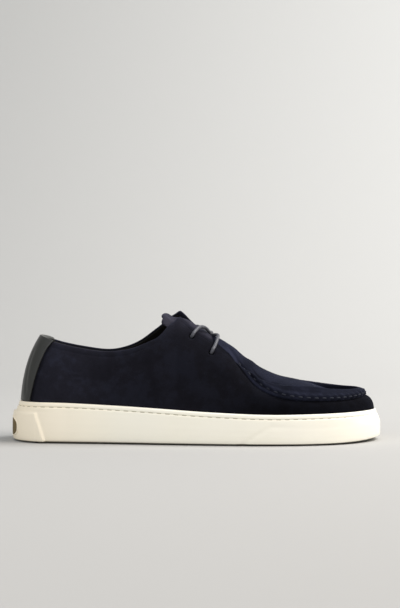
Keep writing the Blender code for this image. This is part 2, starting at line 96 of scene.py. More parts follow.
def edit_edges(thing, wanted):
    """Edit the mesh with only those edges selected whose two ends are wanted."""
    bpy.ops.object.mode_set(mode="EDIT")
    bpy.ops.mesh.select_mode(type="EDGE")
    bpy.ops.mesh.select_all(action="DESELECT")
    bpy.ops.object.mode_set(mode="OBJECT")
    for edge in thing.data.edges:
        edge.select = all(wanted(thing.data.vertices[v].co) for v in edge.vertices)
    bpy.ops.object.mode_set(mode="EDIT")


scene = bpy.context.scene
scene.view_settings.view_transform = "Standard"

camera = bpy.data.objects.new("camera", bpy.data.cameras.new("camera"))
scene.collection.objects.link(camera)
camera.location = EYE
camera.rotation_euler = (math.radians(90), 0, 0)
camera.data.lens = LENS
camera.data.clip_start = 0.01
scene.camera = camera

deselect()
bpy.ops.mesh.primitive_plane_add(size=6, location=(0, -1.2, 0))
bpy.ops.transform.resize(value=(4, 1, 1), center_override=(0, 0, 0))
sweep = bpy.context.object
sweep.name = sweep.data.name = "paper_sweep"
bpy.ops.object.transform_apply(location=True, rotation=True, scale=True)
edit_edges(sweep, lambda point: point.y > SWEEP_BACK)
bpy.ops.mesh.extrude_region_move(TRANSFORM_OT_translate={"value": (0, 0, 4)})
edit_edges(sweep, lambda point: point.y > SWEEP_BACK and point.z < 0.1)
bpy.ops.mesh.bevel(offset=1.2, segments=24)
bpy.ops.object.mode_set(mode="OBJECT")
bpy.ops.object.shade_smooth()
paper = new_material("matt_studio_paper", Base_Color=linear(SWEEP_GREY),
                     Roughness=0.9, Specular_IOR_Level=0.1)
sweep.data.materials.append(paper)

# name, place, size in metres, power in watts, colour
for name, place, size, power, colour in (
        ("toe_softbox", (1.1, -0.4, 1.2), 0.9, 19.0, "fff5ed"),
        ("heel_softbox", (-0.9, -1.0, 0.9), 1.0, 5.0, "fafbff"),
        ("backdrop_light", (1.1, 0.45, 1.6), 0.9, 34.0, "ffffff")):
    lamp = bpy.data.lights.new(name, "AREA")
    lamp.size = size
    lamp.energy = power
    lamp.color = linear(colour)[:3]
    holder = bpy.data.objects.new(name, lamp)
    scene.collection.objects.link(holder)
    holder.location = place
    aim = Vector((-0.1, 1.7, 0.2)) if name == "backdrop_light" else Vector((0, 0, 0.05))
    holder.rotation_euler = (aim - holder.location).to_track_quat("-Z", "Y").to_euler()

world = bpy.data.worlds.new("room")
world.use_nodes = True
world.node_tree.nodes["Background"].inputs["Color"].default_value = linear("f4f5f6")
world.node_tree.nodes["Background"].inputs["Strength"].default_value = 0.70
scene.world = world


# ---- The last and the cupsole -------------------------------------------------------------------
# One moulded shell of cream rubber, glued and stitched to the upper, with a sunk line for the
# stitches, a raised heel panel, a thin lip over the floor and a channelled tread. Sections of the
# last, from the heel to the toe, give its outline as they do the upper's.

LENGTH, BALL_WIDTH, INSTEP, HEEL_HEIGHT = 300.0, 108.0, 100.0, 83.5      # mm
GAP = 0.3
MM = 0.001
UP = np.array([0.0, 0.0, 1.0])

# foot: share of the length where the section leaves the sole; edge: where its upper end is; out and
# in: shares of half the ball width; rise: share of the heel height or instep; swell and crown: mm
Section = namedtuple("Section", "name foot foot_out foot_in edge edge_out edge_in "
                                "rise_out rise_in swell_out swell_in crown")
QUARTER = [Section(*row) for row in (
    ("heel back",     3.1,  0.0,  0.0,  8.2,  0.0,  0.0, 100.0, 100.0, 3.0, 3.0, 0.6),
    ("heel corner",   4.7, 32.0, 31.0,  9.4, 27.0, 26.0,  98.9,  98.9, 3.0, 3.0, 0.6),
    ("heel side",     9.0, 53.0, 51.0, 12.6, 45.5, 43.5,  95.4,  94.6, 2.8, 2.8, 0.8),
    ("heel front",   17.0, 62.0, 58.0, 18.6, 54.5, 51.5,  90.6,  89.8, 2.2, 2.6, 1.0),
    ("collar low",   26.5, 67.5, 59.5, 27.4, 58.5, 55.0,  87.0,  87.0, 2.0, 3.0, 1.2),
    ("collar rise",  34.5, 73.5, 58.5, 34.6, 56.0, 51.0,  91.0,  95.4, 2.0, 4.0, 1.8),
    ("collar front", 40.0, 78.5, 59.5, 40.3, 47.5, 42.0, 100.4, 110.6, 2.0, 5.0, 3.0),
)]
VAMP = [Section(*row) for row in (
    ("corner",       45.0, 82.0, 61.5, 45.6, 23.0, 25.0, 98.9, 103.6, 2.0, 5.0, 5.0),
    ("upper facing", 50.0, 85.5, 66.0, 50.0, 24.5, 24.5, 89.4,  92.5, 2.0, 4.0, 5.0),
    ("lower facing", 55.0, 88.5, 72.0, 54.8, 27.5, 28.0, 79.9,  82.2, 2.0, 3.0, 4.6),
    ("throat",       59.3, 90.8, 78.5, 59.0, 37.5, 37.0, 68.7,  70.5, 2.0, 2.0, 3.6),
    ("seam slope",   63.0, 92.3, 83.0, 62.7, 53.5, 52.5, 54.4,  55.2, 2.0, 1.5, 2.4),
    ("seam bend",    66.5, 93.0, 86.3, 66.4, 72.0, 69.0, 43.4,  43.8, 1.8, 1.2, 1.4),
    ("ball",         72.0, 92.6, 89.3, 72.0, 83.5, 80.5, 36.1,  36.4, 1.2, 1.0, 0.8),
    ("forepart",     79.0, 88.6, 88.5, 79.0, 81.5, 81.5, 33.4,  33.6, 1.0, 1.0, 0.5),
    ("toe side",     87.0, 75.0, 80.5, 85.8, 69.0, 74.5, 33.0,  33.2, 1.0, 1.0, 0.5),
    ("toe corner",   93.3, 50.5, 61.5, 91.3, 46.5, 56.5, 33.6,  33.6, 1.0, 1.0, 0.5),
    ("toe front",    97.2, 21.0, 34.0, 94.9, 18.5, 30.5, 35.2,  35.2, 1.6, 1.6, 0.5),
    ("toe tip",      98.3, -7.0,  7.0, 96.0, -6.0,  6.0, 35.8,  35.8, 1.6, 1.6, 0.5),
)]
# middle: share of the instep; the sewn roll stands up, leans in and dips to the apron: mm
Seam = namedtuple("Seam", "name middle stand roll dip")
SEAM = [Seam(*row) for row in (
    ("corner",       101.6,  0.0, 0.0, 0.0),
    ("upper facing",  94.6,  0.0, 0.0, 0.0),
    ("lower facing",  88.6,  0.0, 0.0, 0.0),
    ("throat",        78.0,  0.0, 0.0, 0.0),
    ("seam slope",    67.2,  5.5, 3.0, 1.0),
    ("seam bend",     59.6,  8.0, 4.5, 1.6),
    ("ball",          52.2, 10.5, 6.0, 2.0),
    ("forepart",      47.6, 12.3, 6.3, 3.0),
    ("toe side",      41.4, 10.0, 5.0, 4.6),
    ("toe corner",    36.8,  8.0, 4.0, 5.4),
    ("toe front",     35.6,  6.3, 3.2, 5.6),
    ("toe tip",       35.6,  5.4, 3.0, 5.6),
)]
RIM_TUCK = 2.0

# Side view of the sole: share of the length, then rim, cup floor and underside in mm
Rise = namedtuple("Rise", "along rim cup ground")
SOLE = [Rise(*row) for row in (
    (0.0,   31.6, 14.0, 0.4),
    (4.0,   31.8, 14.0, 0.0),
    (14.0,  31.9, 14.0, 0.0),
    (25.0,  30.6, 13.6, 0.0),
    (38.0,  28.5, 12.4, 0.0),
    (52.0,  25.8, 10.8, 0.0),
    (68.0,  23.9, 10.0, 0.0),
    (80.0,  24.1, 10.0, 0.0),
    (90.0,  24.6, 10.4, 0.5),
    (100.0, 25.2, 11.4, 2.4),
)]
SECTIONS = QUARTER + VAMP
LAST = len(SECTIONS) - 1
LOOP = 2 * LAST
CORNER = len(QUARTER)
THROAT = CORNER + 3


def along(share):
    """x of a share of the length."""
    return LENGTH * (share / 100 - 0.5)


def station_rows():
    """Foot and edge of each station of the loop: down the outer side, round the toe and back."""
    foot, edge = [], []
    for k in range(LOOP):
        outer = k <= LAST
        index = k if outer else LOOP - k
        row, seam = SECTIONS[index], SEAM[max(index - CORNER, 0)]
        half = BALL_WIDTH / 200
        y_foot = -half * row.foot_out if outer else half * row.foot_in
        y_edge = -half * row.edge_out if outer else half * row.edge_in
        rise = row.rise_out if outer else row.rise_in
        z_edge = rise / 100 * (HEEL_HEIGHT if index < CORNER else INSTEP)
        swell = row.swell_out if outer else row.swell_in
        foot.append((along(row.foot), y_foot, swell, row.crown))
        edge.append((along(row.edge), y_edge, z_edge, seam.middle / 100 * INSTEP,
                     seam.stand, seam.roll, seam.dip))
    return np.array(foot), np.array(edge)


def blend(start, end, slope, end_slope, step, f):
    """Smooth step from start to end as f runs from 0 to 1."""
    return (start * (1 + 2 * f) * (1 - f) ** 2 + end * f * f * (3 - 2 * f)
            + slope * step * f * (1 - f) ** 2 - end_slope * step * f * f * (1 - f))


def loop_curve(rows, size, sharp=()):
    """Smooth closed curve through the rows; t counts stations, and sharp stations keep a corner."""
    count = len(rows)
    steps = [rows[(k + 1) % count] - rows[k] for k in range(count)]
    lengths = [float(np.linalg.norm(step[:size])) for step in steps]
    slopes = [step / length for step, length in zip(steps, lengths)]
    turn = []
    for k in range(count):
        before, after = lengths[k - 1], lengths[k]
        turn.append((after * slopes[k - 1] + before * slopes[k]) / (before + after))

    @functools.lru_cache(maxsize=None)
    def at(t):
        k = int(math.floor(t)) % count
        after = (k + 1) % count
        start = slopes[k] if k in sharp else turn[k]
        end = slopes[k] if after in sharp else turn[after]
        return blend(rows[k], rows[after], start, end, lengths[k], t - math.floor(t))

    return at


def open_curve(rows):
    """Smooth open curve through the rows; t counts rows."""
    def at(t):
        k = min(int(t), len(rows) - 2)
        start = (rows[k + 1] - rows[max(k - 1, 0)]) / 2
        end = (rows[min(k + 2, len(rows) - 1)] - rows[k]) / 2
        return blend(rows[k], rows[k + 1], start, end, 1.0, t - k)

    return at


FOOT_ROWS, EDGE_ROWS = station_rows()
foot_line = loop_curve(FOOT_ROWS, 2)
edge_line = loop_curve(EDGE_ROWS, 3, sharp=(CORNER, LOOP - CORNER))
side_view = open_curve(np.array(SOLE, dtype=float))
SIDE_X = [along(row.along) for row in SOLE]


def sole_height(x, column):
    """Rim, cup floor or underside height at x."""
    return side_view(np.interp(x, SIDE_X, range(len(SOLE))))[Rise._fields.index(column)]


def gone_along(points):
    """Length of the line from its first point to each of them."""
    return np.concatenate([[0], np.cumsum(np.linalg.norm(np.diff(points, axis=0), axis=1))])


@functools.lru_cache(maxsize=None)
def plan_normal(t):
    """Level unit vector that points away from the foot at t."""
    step = foot_line(t + 0.01)[:2] - foot_line(t - 0.01)[:2]
    return np.array([step[1], -step[0], 0.0]) / np.linalg.norm(step)


def below_rim(t, depth, offset):
    """Point inside the cup: depth is 0 at the rim and 1 at the floor of the cup."""
    foot = foot_line(t)
    top, bottom = sole_height(foot[0], "rim"), sole_height(foot[0], "cup") + GAP
    spot = np.array([foot[0], foot[1], top + (bottom - top) * depth])
    return spot + plan_normal(t) * (offset - RIM_TUCK * depth * depth)


def paced(first, last, pitch):
    """Values of t from first to last, about pitch millimetres apart along the foot line."""
    fine = np.linspace(first, last, 1500)
    gone = gone_along(np.array([foot_line(float(t))[:2] for t in fine]))
    count = max(1, round(gone[-1] / pitch))
    return [float(t) for t in np.interp(np.linspace(0, gone[-1], count + 1), gone, fine)]


def smooth(value, low, high):
    """0 below low, 1 above high, and a soft step between."""
    f = min(max((value - low) / (high - low), 0.0), 1.0)
    return f * f * (3 - 2 * f)


def bell(value, middle, width):
    """1 at the middle, falling off softly over the width."""
    return math.exp(-((value - middle) / width) ** 2)


def segment_gap(a, b, start_a, start_b, end_a, end_b):
    """Distance from a point to the line between two others."""
    run_a, run_b = end_a - start_a, end_b - start_b
    f = ((a - start_a) * run_a + (b - start_b) * run_b) / (run_a * run_a + run_b * run_b)
    f = min(max(f, 0.0), 1.0)
    return math.hypot(a - start_a - run_a * f, b - start_b - run_b * f)


def weld():
    """Merge the points of the active mesh that meet, and shade it smooth."""
    bpy.ops.object.mode_set(mode="EDIT")
    bpy.ops.mesh.select_all(action="SELECT")
    bpy.ops.mesh.remove_doubles(threshold=0.002 * MM)
    bpy.ops.mesh.select_all(action="DESELECT")
    bpy.ops.object.mode_set(mode="OBJECT")
    bpy.ops.object.shade_smooth()


def laid(name, columns, rows, place, relief=None, tone=None, closed=False):
    """A sheet laid on the last: a flat grid whose points are moved to their places, then raised
    along the surface by its relief in mm. Columns run round or across, rows up or along. The tone
    is kept as painted light: how much lighter or darker the colour is painted for light and shade."""
    points = np.array([[place(c, r) for c in columns] for r in rows])
    if relief is not None:
        if closed:
            ring = np.concatenate([points[:, -2:-1], points, points[:, 1:2]], axis=1)
            run = ring[:, 2:] - ring[:, :-2]
        else:
            run = np.gradient(points, axis=1)
        normal = np.cross(run, np.gradient(points, axis=0))
        normal /= np.maximum(np.linalg.norm(normal, axis=2, keepdims=True), 1e-9)
        lift = [[relief(c, r, points[j][i]) for i, c in enumerate(columns)]
                for j, r in enumerate(rows)]
        points += normal * np.array(lift)[..., None]
    deselect()
    wide, tall = len(columns) - 1, len(rows) - 1
    bpy.ops.mesh.primitive_grid_add(x_subdivisions=wide, y_subdivisions=tall, size=2)
    thing = bpy.context.object
    thing.name = thing.data.name = name
    shades = [0.0] * len(thing.data.vertices)
    for vertex in thing.data.vertices:
        i = round((vertex.co.x + 1) / 2 * wide)
        j = round((vertex.co.y + 1) / 2 * tall)
        vertex.co = points[j][i] * MM
        # The tone is painted light: painted shade and painted highlights kept per point.
        if tone:
            shades[vertex.index] = tone(columns[i], rows[j], points[j][i])
    if tone:
        thing.data.attributes.new("nap_and_painted_light", "FLOAT", "POINT").data.foreach_set("value", shades)
    weld()
    return thing


def joined(name, things):
    """Several sheets made one mesh, their shared edges merged."""
    deselect()
    for thing in things:
        thing.select_set(True)
    bpy.context.view_layer.objects.active = things[0]
    bpy.ops.object.join()
    weld()
    things[0].name = things[0].data.name = name
    return things[0]


def finish_piece(thing, material, slot, *stands_for):
    """Material, body and the solids that the piece stands for; its slot is not used."""
    thing.data.materials.clear()
    thing.data.materials.append(material)
    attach(thing, "root")
    if stands_for:
        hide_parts(*stands_for)


Side = namedtuple("Side", "depth out")
SIDE_WALL = [Side(*row) for row in (
    (0.00, 3.2), (0.03, 3.8), (0.10, 4.1), (0.30, 4.5), (0.50, 4.8), (0.70, 4.9), (0.85, 4.8),
    (0.925, 4.5), (0.943, 4.0), (0.951, 3.0), (0.957, 1.2), (1.00, 0.4)
)]
HEEL_STAND, END_LEAN = 1.2, 2.5         # mm: out at the back of the heel; in at the ends' rims
PANEL, PANEL_BEVEL = 1.7, 1.9
PANEL_TOP, PANEL_FOOT = -127.0, -118.8  # x of its front edge
SEW_DEPTH = 3.4                         # mm from the rim to the line of stitches
LIP = 2.0                               # mm from the floor to the thin lip
EDGE_ROUND = 3.0
SOLE_PITCH = 1.25
RIM_ZONE, FLOOR_ZONE = 5.0, 4.0         # mm of fine rows under the rim and over the floor
FACET = ((33.5, -0.4), (57.5, 14.8), (88.0, 13.4), (124.0, 14.8))      # x and z of the facet line
CHANNEL, CHANNEL_DEPTH, CHANNEL_STEP, CHANNEL_MARGIN = 2.4, 1.6, 12.0, 9.0
TREAD = [(-128.0, -68.0), (20.0, 116.0)]
ZIGZAG, ZIGZAG_STEP = 1.6, 2.4          # mm to each side; mm across the shoe to a radian
ARCH, ARCH_RISE = (-50.0, 6.0), 1.8


def side_spot(t, depth):
    """Point of the sole's side wall, depth mm below the rim, before its relief."""
    foot = foot_line(t)
    rim, ground = sole_height(foot[0], "rim"), sole_height(foot[0], "ground")
    share = min(max(depth / (rim - ground), 0.0), 1.0)
    out = np.interp(share, [side.depth for side in SIDE_WALL], [side.out for side in SIDE_WALL])
    near = min(t, LOOP - t)
    out += HEEL_STAND * math.sqrt(max(1.0 - near / 2, 0.0))
    out -= END_LEAN * smooth(abs(foot[0]), 118, 143) * (1 - smooth(depth, 0, 11))
    return np.array([foot[0], foot[1], rim - share * (rim - ground)]) + plan_normal(t) * out


def panel_rise(spot):
    """How far the heel panel stands out at a point of the side wall."""
    height = 1 - smooth(spot[2], 23.2, 24.2)
    front = PANEL_TOP + (PANEL_FOOT - PANEL_TOP) * (1 - spot[2] / 24)
    return PANEL * height * (1 - min(max((spot[0] - front) / PANEL_BEVEL, 0.0), 1.0))


def side_levels():
    """Depths of the side wall's rows: mm under the rim, then shares, then mm over the floor."""
    top = [("rim", d) for d in np.arange(0.0, RIM_ZONE + 0.01, 0.25)]
    middle = [("share", f) for f in np.linspace(0, 1, 26)[1:-1]]
    foot = [("floor", d) for d in (FLOOR_ZONE, 3.4, 2.8, 2.4, 2.1, 1.85, 1.7, 1.55, 1.4, 1.25, 1.1,
                                   0.8, 0.4, 0.0)]
    return top + middle + foot


def depth_of(t, level):
    """Depth in mm of a level at t."""
    foot = foot_line(t)
    tall = sole_height(foot[0], "rim") - sole_height(foot[0], "ground")
    kind, value = level
    if kind == "rim":
        return float(value)
    if kind == "floor":
        return tall - value
    return RIM_ZONE + (tall - (RIM_ZONE + FLOOR_ZONE)) * float(value)


def sole_ring(t, level):
    """Rows of the sole from its underside up the side wall, over the rim and into the cup."""
    kind, value = level
    if kind == "under":
        spot = side_spot(t, 100.0) - plan_normal(t) * value
        return np.array([spot[0], spot[1], sole_height(spot[0], "ground")])
    if kind == "cup":
        return below_rim(t, value, GAP) - UP * GAP * value
    return side_spot(t, depth_of(t, level))


def sole_relief(t, level, spot):
    """Panel, stitch groove, lip and the forefoot's facet."""
    kind = level[0]
    if kind in ("under", "cup"):
        return 0.0
    depth = depth_of(t, level)
    lift = panel_rise(spot) * smooth(spot[2], 1.5, 2.3)
    lift -= (0.85 - 0.4 * smooth(spot[0], 60, 130)) * bell(depth, SEW_DEPTH, 0.5)
    lift -= 0.45 * (1 - smooth(spot[0], -124, -112)) * bell(depth, 7.2, 0.4)
    lift -= 0.12 * (1 - smooth(spot[0], -25, 25)) * bell(spot[2], LIP, 0.4)
    if spot[0] > FACET[0][0] - 6:
        away = min(segment_gap(spot[0], spot[2], *start, *end) for start, end in zip(FACET, FACET[1:]))
        lift -= bell(away, 0, 1.9) * (0.08 + 0.24 * (1 - smooth(spot[0], 48, 80))) * \
            (1 - smooth(spot[0], 100, 124))
    return lift


def across_cup(share, t, offset):
    """Point of the cup's floor between its two sides."""
    one, two = below_rim(t, 1.0, offset), below_rim(LOOP - t, 1.0, offset)
    return one + (two - one) * share


def under_spot(share, t):
    """Point of the underside between its two edges."""
    one, two = sole_ring(t, ("under", EDGE_ROUND)), sole_ring(LOOP - t, ("under", EDGE_ROUND))
    spot = one + (two - one) * share
    arch = math.sin(math.pi * (spot[0] - ARCH[0]) / (ARCH[1] - ARCH[0])) ** 2
    inside = smooth(min(share, 1 - share) * np.linalg.norm(two - one), 0.0, 12.0)
    rise = ARCH_RISE * arch * inside if ARCH[0] < spot[0] < ARCH[1] else 0.0
    return np.array([spot[0], spot[1], sole_height(spot[0], "ground") + rise])


def tread_cut(share, t, spot):
    """Depth of the tread: straight channels with a fine zigzag between them."""
    one, two = foot_line(t)[1], foot_line(LOOP - t)[1]
    margin = min(spot[1] - one, two - spot[1])
    cut = 0.0
    for start, end in TREAD:
        if start - 5 < spot[0] < end + 5:
            nearest = start + round((spot[0] - start) / CHANNEL_STEP) * CHANNEL_STEP
            nearest = min(max(nearest, start), end)
            width = 1 - smooth(abs(spot[0] - nearest), CHANNEL / 2 - 0.3, CHANNEL / 2 + 0.6)
            cut = CHANNEL_DEPTH * width * smooth(margin, CHANNEL_MARGIN - 2, CHANNEL_MARGIN)
            wave = ZIGZAG * math.sin(spot[1] / ZIGZAG_STEP)
            fine = bell(abs(spot[0] - nearest), 6.0 + wave, 0.8)
            cut = max(cut, 0.7 * fine * smooth(margin, CHANNEL_MARGIN, CHANNEL_MARGIN + 2))
    return -cut


half_places = (paced(0, 1, SOLE_PITCH) + paced(1, 2.7, 0.45)[1:] + paced(2.7, CORNER, SOLE_PITCH)[1:]
               + paced(CORNER, LAST, SOLE_PITCH)[1:])
loop_places = half_places + [LOOP - t for t in reversed(half_places[:-1])]
sole_rows = ([("under", v) for v in (EDGE_ROUND, 2.2, 1.5, 0.9, 0.4)]
             + list(reversed(side_levels()))
             + [("cup", v) for v in (0.0, 0.04, 0.12, 0.3, 0.6, 1.0)])
ring = laid("cupsole", loop_places, sole_rows, sole_ring, sole_relief, closed=True)
across_sole = [f / 64 for f in range(65)]
under = laid("underside", across_sole, half_places, under_spot, tread_cut)
floor = laid("cup_floor", [f / 6 for f in range(7)], list(reversed(half_places)),
             lambda share, t: across_cup(share, t, GAP) - UP * GAP)
cupsole = joined("cupsole", [ring, under, floor])


def add_node(material, kind, settings=(), **sockets):
    """Add a node: settings are its own choices, sockets are values, outputs, or nodes that stand for
    their first output."""
    made = material.node_tree.nodes.new("ShaderNode" + kind)
    for name, value in dict(settings).items():
        setattr(made, name, value)
    for name, value in sockets.items():
        value = value.outputs[0] if isinstance(value, bpy.types.Node) else value
        socket = made.inputs[int(name[1:]) if name[1:].isdigit() else name.replace("_", " ")]
        if isinstance(value, bpy.types.NodeSocket):
            material.node_tree.links.new(value, socket)
        else:
            socket.default_value = value
    return made


def feed(material, socket, output):
    """Link an output, or a node's first one, to a socket of the material's shader."""
    output = output.outputs[0] if isinstance(output, bpy.types.Node) else output
    shader = material.node_tree.nodes["Principled BSDF"]
    material.node_tree.links.new(output, shader.inputs[socket])


# A mix of colours: its sockets are 0, 6 and 7, and its output is 2
COLOURS = {"data_type": "RGBA"}

# Cream thermoplastic rubber, injection moulded: even colour, a soft satin skin with a trace of the
# mould's fine grain, slightly yellower at the heel, and a painted contact shadow where it meets the
# ground.
rubber = new_material("moulded_cream_rubber", Roughness=0.46, IOR=1.5, Specular_IOR_Level=0.4)
place = add_node(rubber, "TexCoord").outputs["Object"]
cloud = add_node(rubber, "TexNoise", Vector=place, Scale=18.0, Detail=3.0)
grain = add_node(rubber, "TexNoise", Vector=place, Scale=1500.0, Detail=2.0)
tone = add_node(rubber, "Mix", COLOURS, _0=cloud, _6=linear("f6f2e1"), _7=linear("f9f6ea"))
along_shoe = add_node(rubber, "SeparateXYZ", Vector=place)
# Yellower and a little darker toward the heel end.
toward_heel = add_node(rubber, "MapRange", Value=along_shoe.outputs["X"], From_Min=-0.15, From_Max=-0.06,
                   To_Min=0.8, To_Max=0.0)
ivory = add_node(rubber, "Mix", COLOURS, _0=toward_heel, _6=tone.outputs[2], _7=linear("f8e9cd"))
# Painted contact shadow: the colour turns dark grey-brown in the lowest 2 mm, where the sole meets the
# floor.
low = add_node(rubber, "MapRange", Value=along_shoe.outputs["Z"], From_Min=0.0009, From_Max=0.0019,
               To_Min=1.0, To_Max=0.0)
painted_contact_shadow = add_node(rubber, "Mix", COLOURS, _0=low, _6=ivory.outputs[2], _7=linear("5e5a50"))
feed(rubber, "Base Color", painted_contact_shadow.outputs[2])
skin = add_node(rubber, "Bump", Height=grain, Strength=0.12, Distance=0.0002)
feed(rubber, "Normal", skin)
finish_piece(cupsole, rubber, "sole", "sole")


# ---- Sidewall stitches --------------------------------------------------------------------------
# Waxed thread that holds the cupsole to the upper, sunk in its groove all round. Each stitch is a
# short grey bar whose two ends go into the rubber.

SEW_PITCH, SEW_LENGTH, SEW_THREAD, SEW_SINK = 6.6, 4.6, 0.8, 0.75       # mm


def unit(vector):
    """The vector at length 1."""
    return vector / np.linalg.norm(vector)


def stitch_bar(name, length, thread, dive):
    """One stitch along X: a slim ball drawn out, with its ends turned down."""
    deselect()
    bpy.ops.mesh.primitive_uv_sphere_add(segments=8, ring_count=8, radius=0.5 * MM,
                                         rotation=(0, math.radians(90), 0))
    bar = bpy.context.object
    bar.name = bar.data.name = name
    bpy.ops.object.transform_apply(location=True, rotation=True, scale=True)
    bpy.ops.object.mode_set(mode="EDIT")
    bpy.ops.mesh.select_all(action="SELECT")
    bpy.ops.transform.resize(value=(length, thread, thread))
    bpy.ops.object.mode_set(mode="OBJECT")
    for vertex in bar.data.vertices:
        reach = abs(vertex.co.x) / (length / 2 * MM)
        vertex.co.z -= dive * MM * reach ** 5
        fill = math.sqrt(max(1 - reach ** 2, 0.0))
        vertex.co.y *= 1 if fill < 0.2 else min(1.25, 0.9 / fill)
    return bar


def sewn(name, bar, spots):
    """Copies of a stitch, each at its own place, as one mesh."""
    model = bmesh.new()
    for spot, run, normal in spots:
        run = unit(run)
        side = unit(np.cross(normal, run))
        lift = np.cross(run, side)
        turn = Matrix([list(run), list(side), list(lift)]).transposed().to_4x4()
        copy = bar.data.copy()
        copy.transform(Matrix.Translation(Vector(spot) * MM) @ turn)
        model.from_mesh(copy)
        bpy.data.meshes.remove(copy)
    mesh = bpy.data.meshes.new(name)
    model.to_mesh(mesh)
    model.free()
    mesh.shade_smooth()
    bpy.data.objects.remove(bar)
    thing = bpy.data.objects.new(name, mesh)
    scene.collection.objects.link(thing)
    return thing


def side_frame(t):
    """Direction along the side wall near its rim, and outwards from it."""
    run = side_spot(t + 0.02, SEW_DEPTH) - side_spot(t - 0.02, SEW_DEPTH)
    rise = side_spot(t, SEW_DEPTH - 0.5) - side_spot(t, SEW_DEPTH + 0.5)
    return run, unit(np.cross(run, rise))


spots = []
for t in paced(0, LOOP, SEW_PITCH)[:-1]:
    run, normal = side_frame(t)
    spots.append((side_spot(t, SEW_DEPTH) - normal * SEW_SINK, run, normal))
sole_stitches = sewn("sole_stitches", stitch_bar("sole_stitch", SEW_LENGTH, SEW_THREAD, 0.5), spots)
# Polyester thread, waxed and greyed by the wax.
thread = new_material("waxed_grey_thread", Base_Color=linear("bdb7a3"), Roughness=0.7)
finish_piece(sole_stitches, thread, "sole")


# ---- Heel inlay ---------------------------------------------------------------------------------
# A plain oval plaque of brown rubber on the back of the heel panel, set in a slim moulded frame and
# slightly domed.

INLAY_REACH, INLAY_LOW, INLAY_HIGH = 0.98, 4.4, 18.8    # stations, mm, mm


def heel_spot(t, z, stand):
    """Point on the raised heel panel at height z."""
    foot = foot_line(t)
    depth = sole_height(foot[0], "rim") - z
    return side_spot(t, depth) + plan_normal(t) * (PANEL + stand)


def inlay_spot(angle, ring):
    """Point of the oval: ring is its size and how far it stands out."""
    size, stand = ring
    middle, half = (INLAY_LOW + INLAY_HIGH) / 2, (INLAY_HIGH - INLAY_LOW) / 2
    across, up = [math.copysign(abs(f) ** 0.7, f) * size for f in (math.cos(angle), math.sin(angle))]
    return heel_spot(INLAY_REACH * across, middle + half * up, stand)


turns = [2 * math.pi * k / 72 for k in range(73)]
inlay = laid("heel_inlay", turns, [(1.0, 0.0), (0.96, 0.15), (0.8, 0.25), (0.6, 0.3), (0.4, 0.3),
                                     (0.2, 0.3), (0.0, 0.3)],
             inlay_spot, closed=True)
# Matt tan brown rubber.
brown = new_material("matt_tan_rubber", Base_Color=linear("6b5a33"), Roughness=0.6,
                     Specular_IOR_Level=0.3)
finish_piece(inlay, brown, "sole")
rim_rows = [(1.0, -0.2), (1.0, 0.35), (1.02, 0.5), (1.07, 0.5), (1.09, 0.35), (1.09, -0.2)]
inlay_rim = laid("heel_inlay_frame", turns, list(reversed(rim_rows)), inlay_spot, closed=True)
finish_piece(inlay_rim, rubber, "sole")


# ---- Quarters and vamp wall ---------------------------------------------------------------------
# One strip of navy suede, about 1.3 mm thick, that runs from the back seam round the toe: its upper
# edge is the collar, then the facing, then the wall's side of the moccasin seam. The edge is folded
# in and sewn down.

SUEDE = 1.3
FOLD_DOWN = 7.0                # mm the fold reaches inside
WALL_PITCH = 1.2
SEAM_FADE = (11.8, 13.6)       # stations over which the apron comes out over the wall
SEAM_REACH = 1.3               # mm that the wall's edge climbs the roll at the toe
REACH_FADE = (12.4, 14.0)      # stations over which it starts to
EDGE_ZONE = 8.0                # mm of fine rows under the wall's edge
EYELETS = [(8.87, 0.765), (7.78, 0.85)]
HOLE = 4.4


@functools.lru_cache(maxsize=None)
def frame_at(t):
    """Start, chord, length and bulge direction of the wall at t."""
    foot, edge = foot_line(t), edge_line(t)
    start = np.array([foot[0], foot[1], sole_height(foot[0], "rim")])
    chord = edge[:3] - start
    normal = plan_normal(t)
    stand = normal * chord[2] - UP * (chord @ normal)
    return start, chord, float(np.linalg.norm(chord)), unit(stand), foot


def wall(t, v):
    """Outer surface of the upper: v is 0 at the rim and 1 at the edge."""
    start, chord, _, stand, foot = frame_at(t)
    bulge = 4 * v * (1 - v) * foot[2] + 6.75 * v * v * (1 - v) * foot[3]
    return start + chord * v + stand * bulge


@functools.lru_cache(maxsize=None)
def wall_normal(t, v):
    """Unit vector out of the upper's wall."""
    low, high = max(v - 0.02, 0.0), min(v + 0.02, 1.0)
    normal = unit(np.cross(wall(t + 0.02, v) - wall(t - 0.02, v), wall(t, high) - wall(t, low)))
    return normal if normal @ plan_normal(t) > 0 else -normal


CORNER_ROUND, CORNER_SLOPE, CORNER_SPACING = 2.2, 0.75, 15.0      # mm, mm to a mm, mm to a station


def corner_drop(t):
    """How far the rounded corner of a facing lies under the sharp one, at t; the outer collar
    climbs a little early."""
    near = min(t, LOOP - t)
    gap = CORNER_SPACING * abs(near - CORNER)
    early = 0.9 * bell(near, 5.4, 0.5) + (4.4 if t < LAST else 2.4) * bell(near, 6.4, 0.31)
    return CORNER_SLOPE * (math.sqrt(gap * gap + CORNER_ROUND ** 2) - gap) \
        - 2.5 * bell(gap, 0, 9.0 if near > CORNER else 4.5) - early
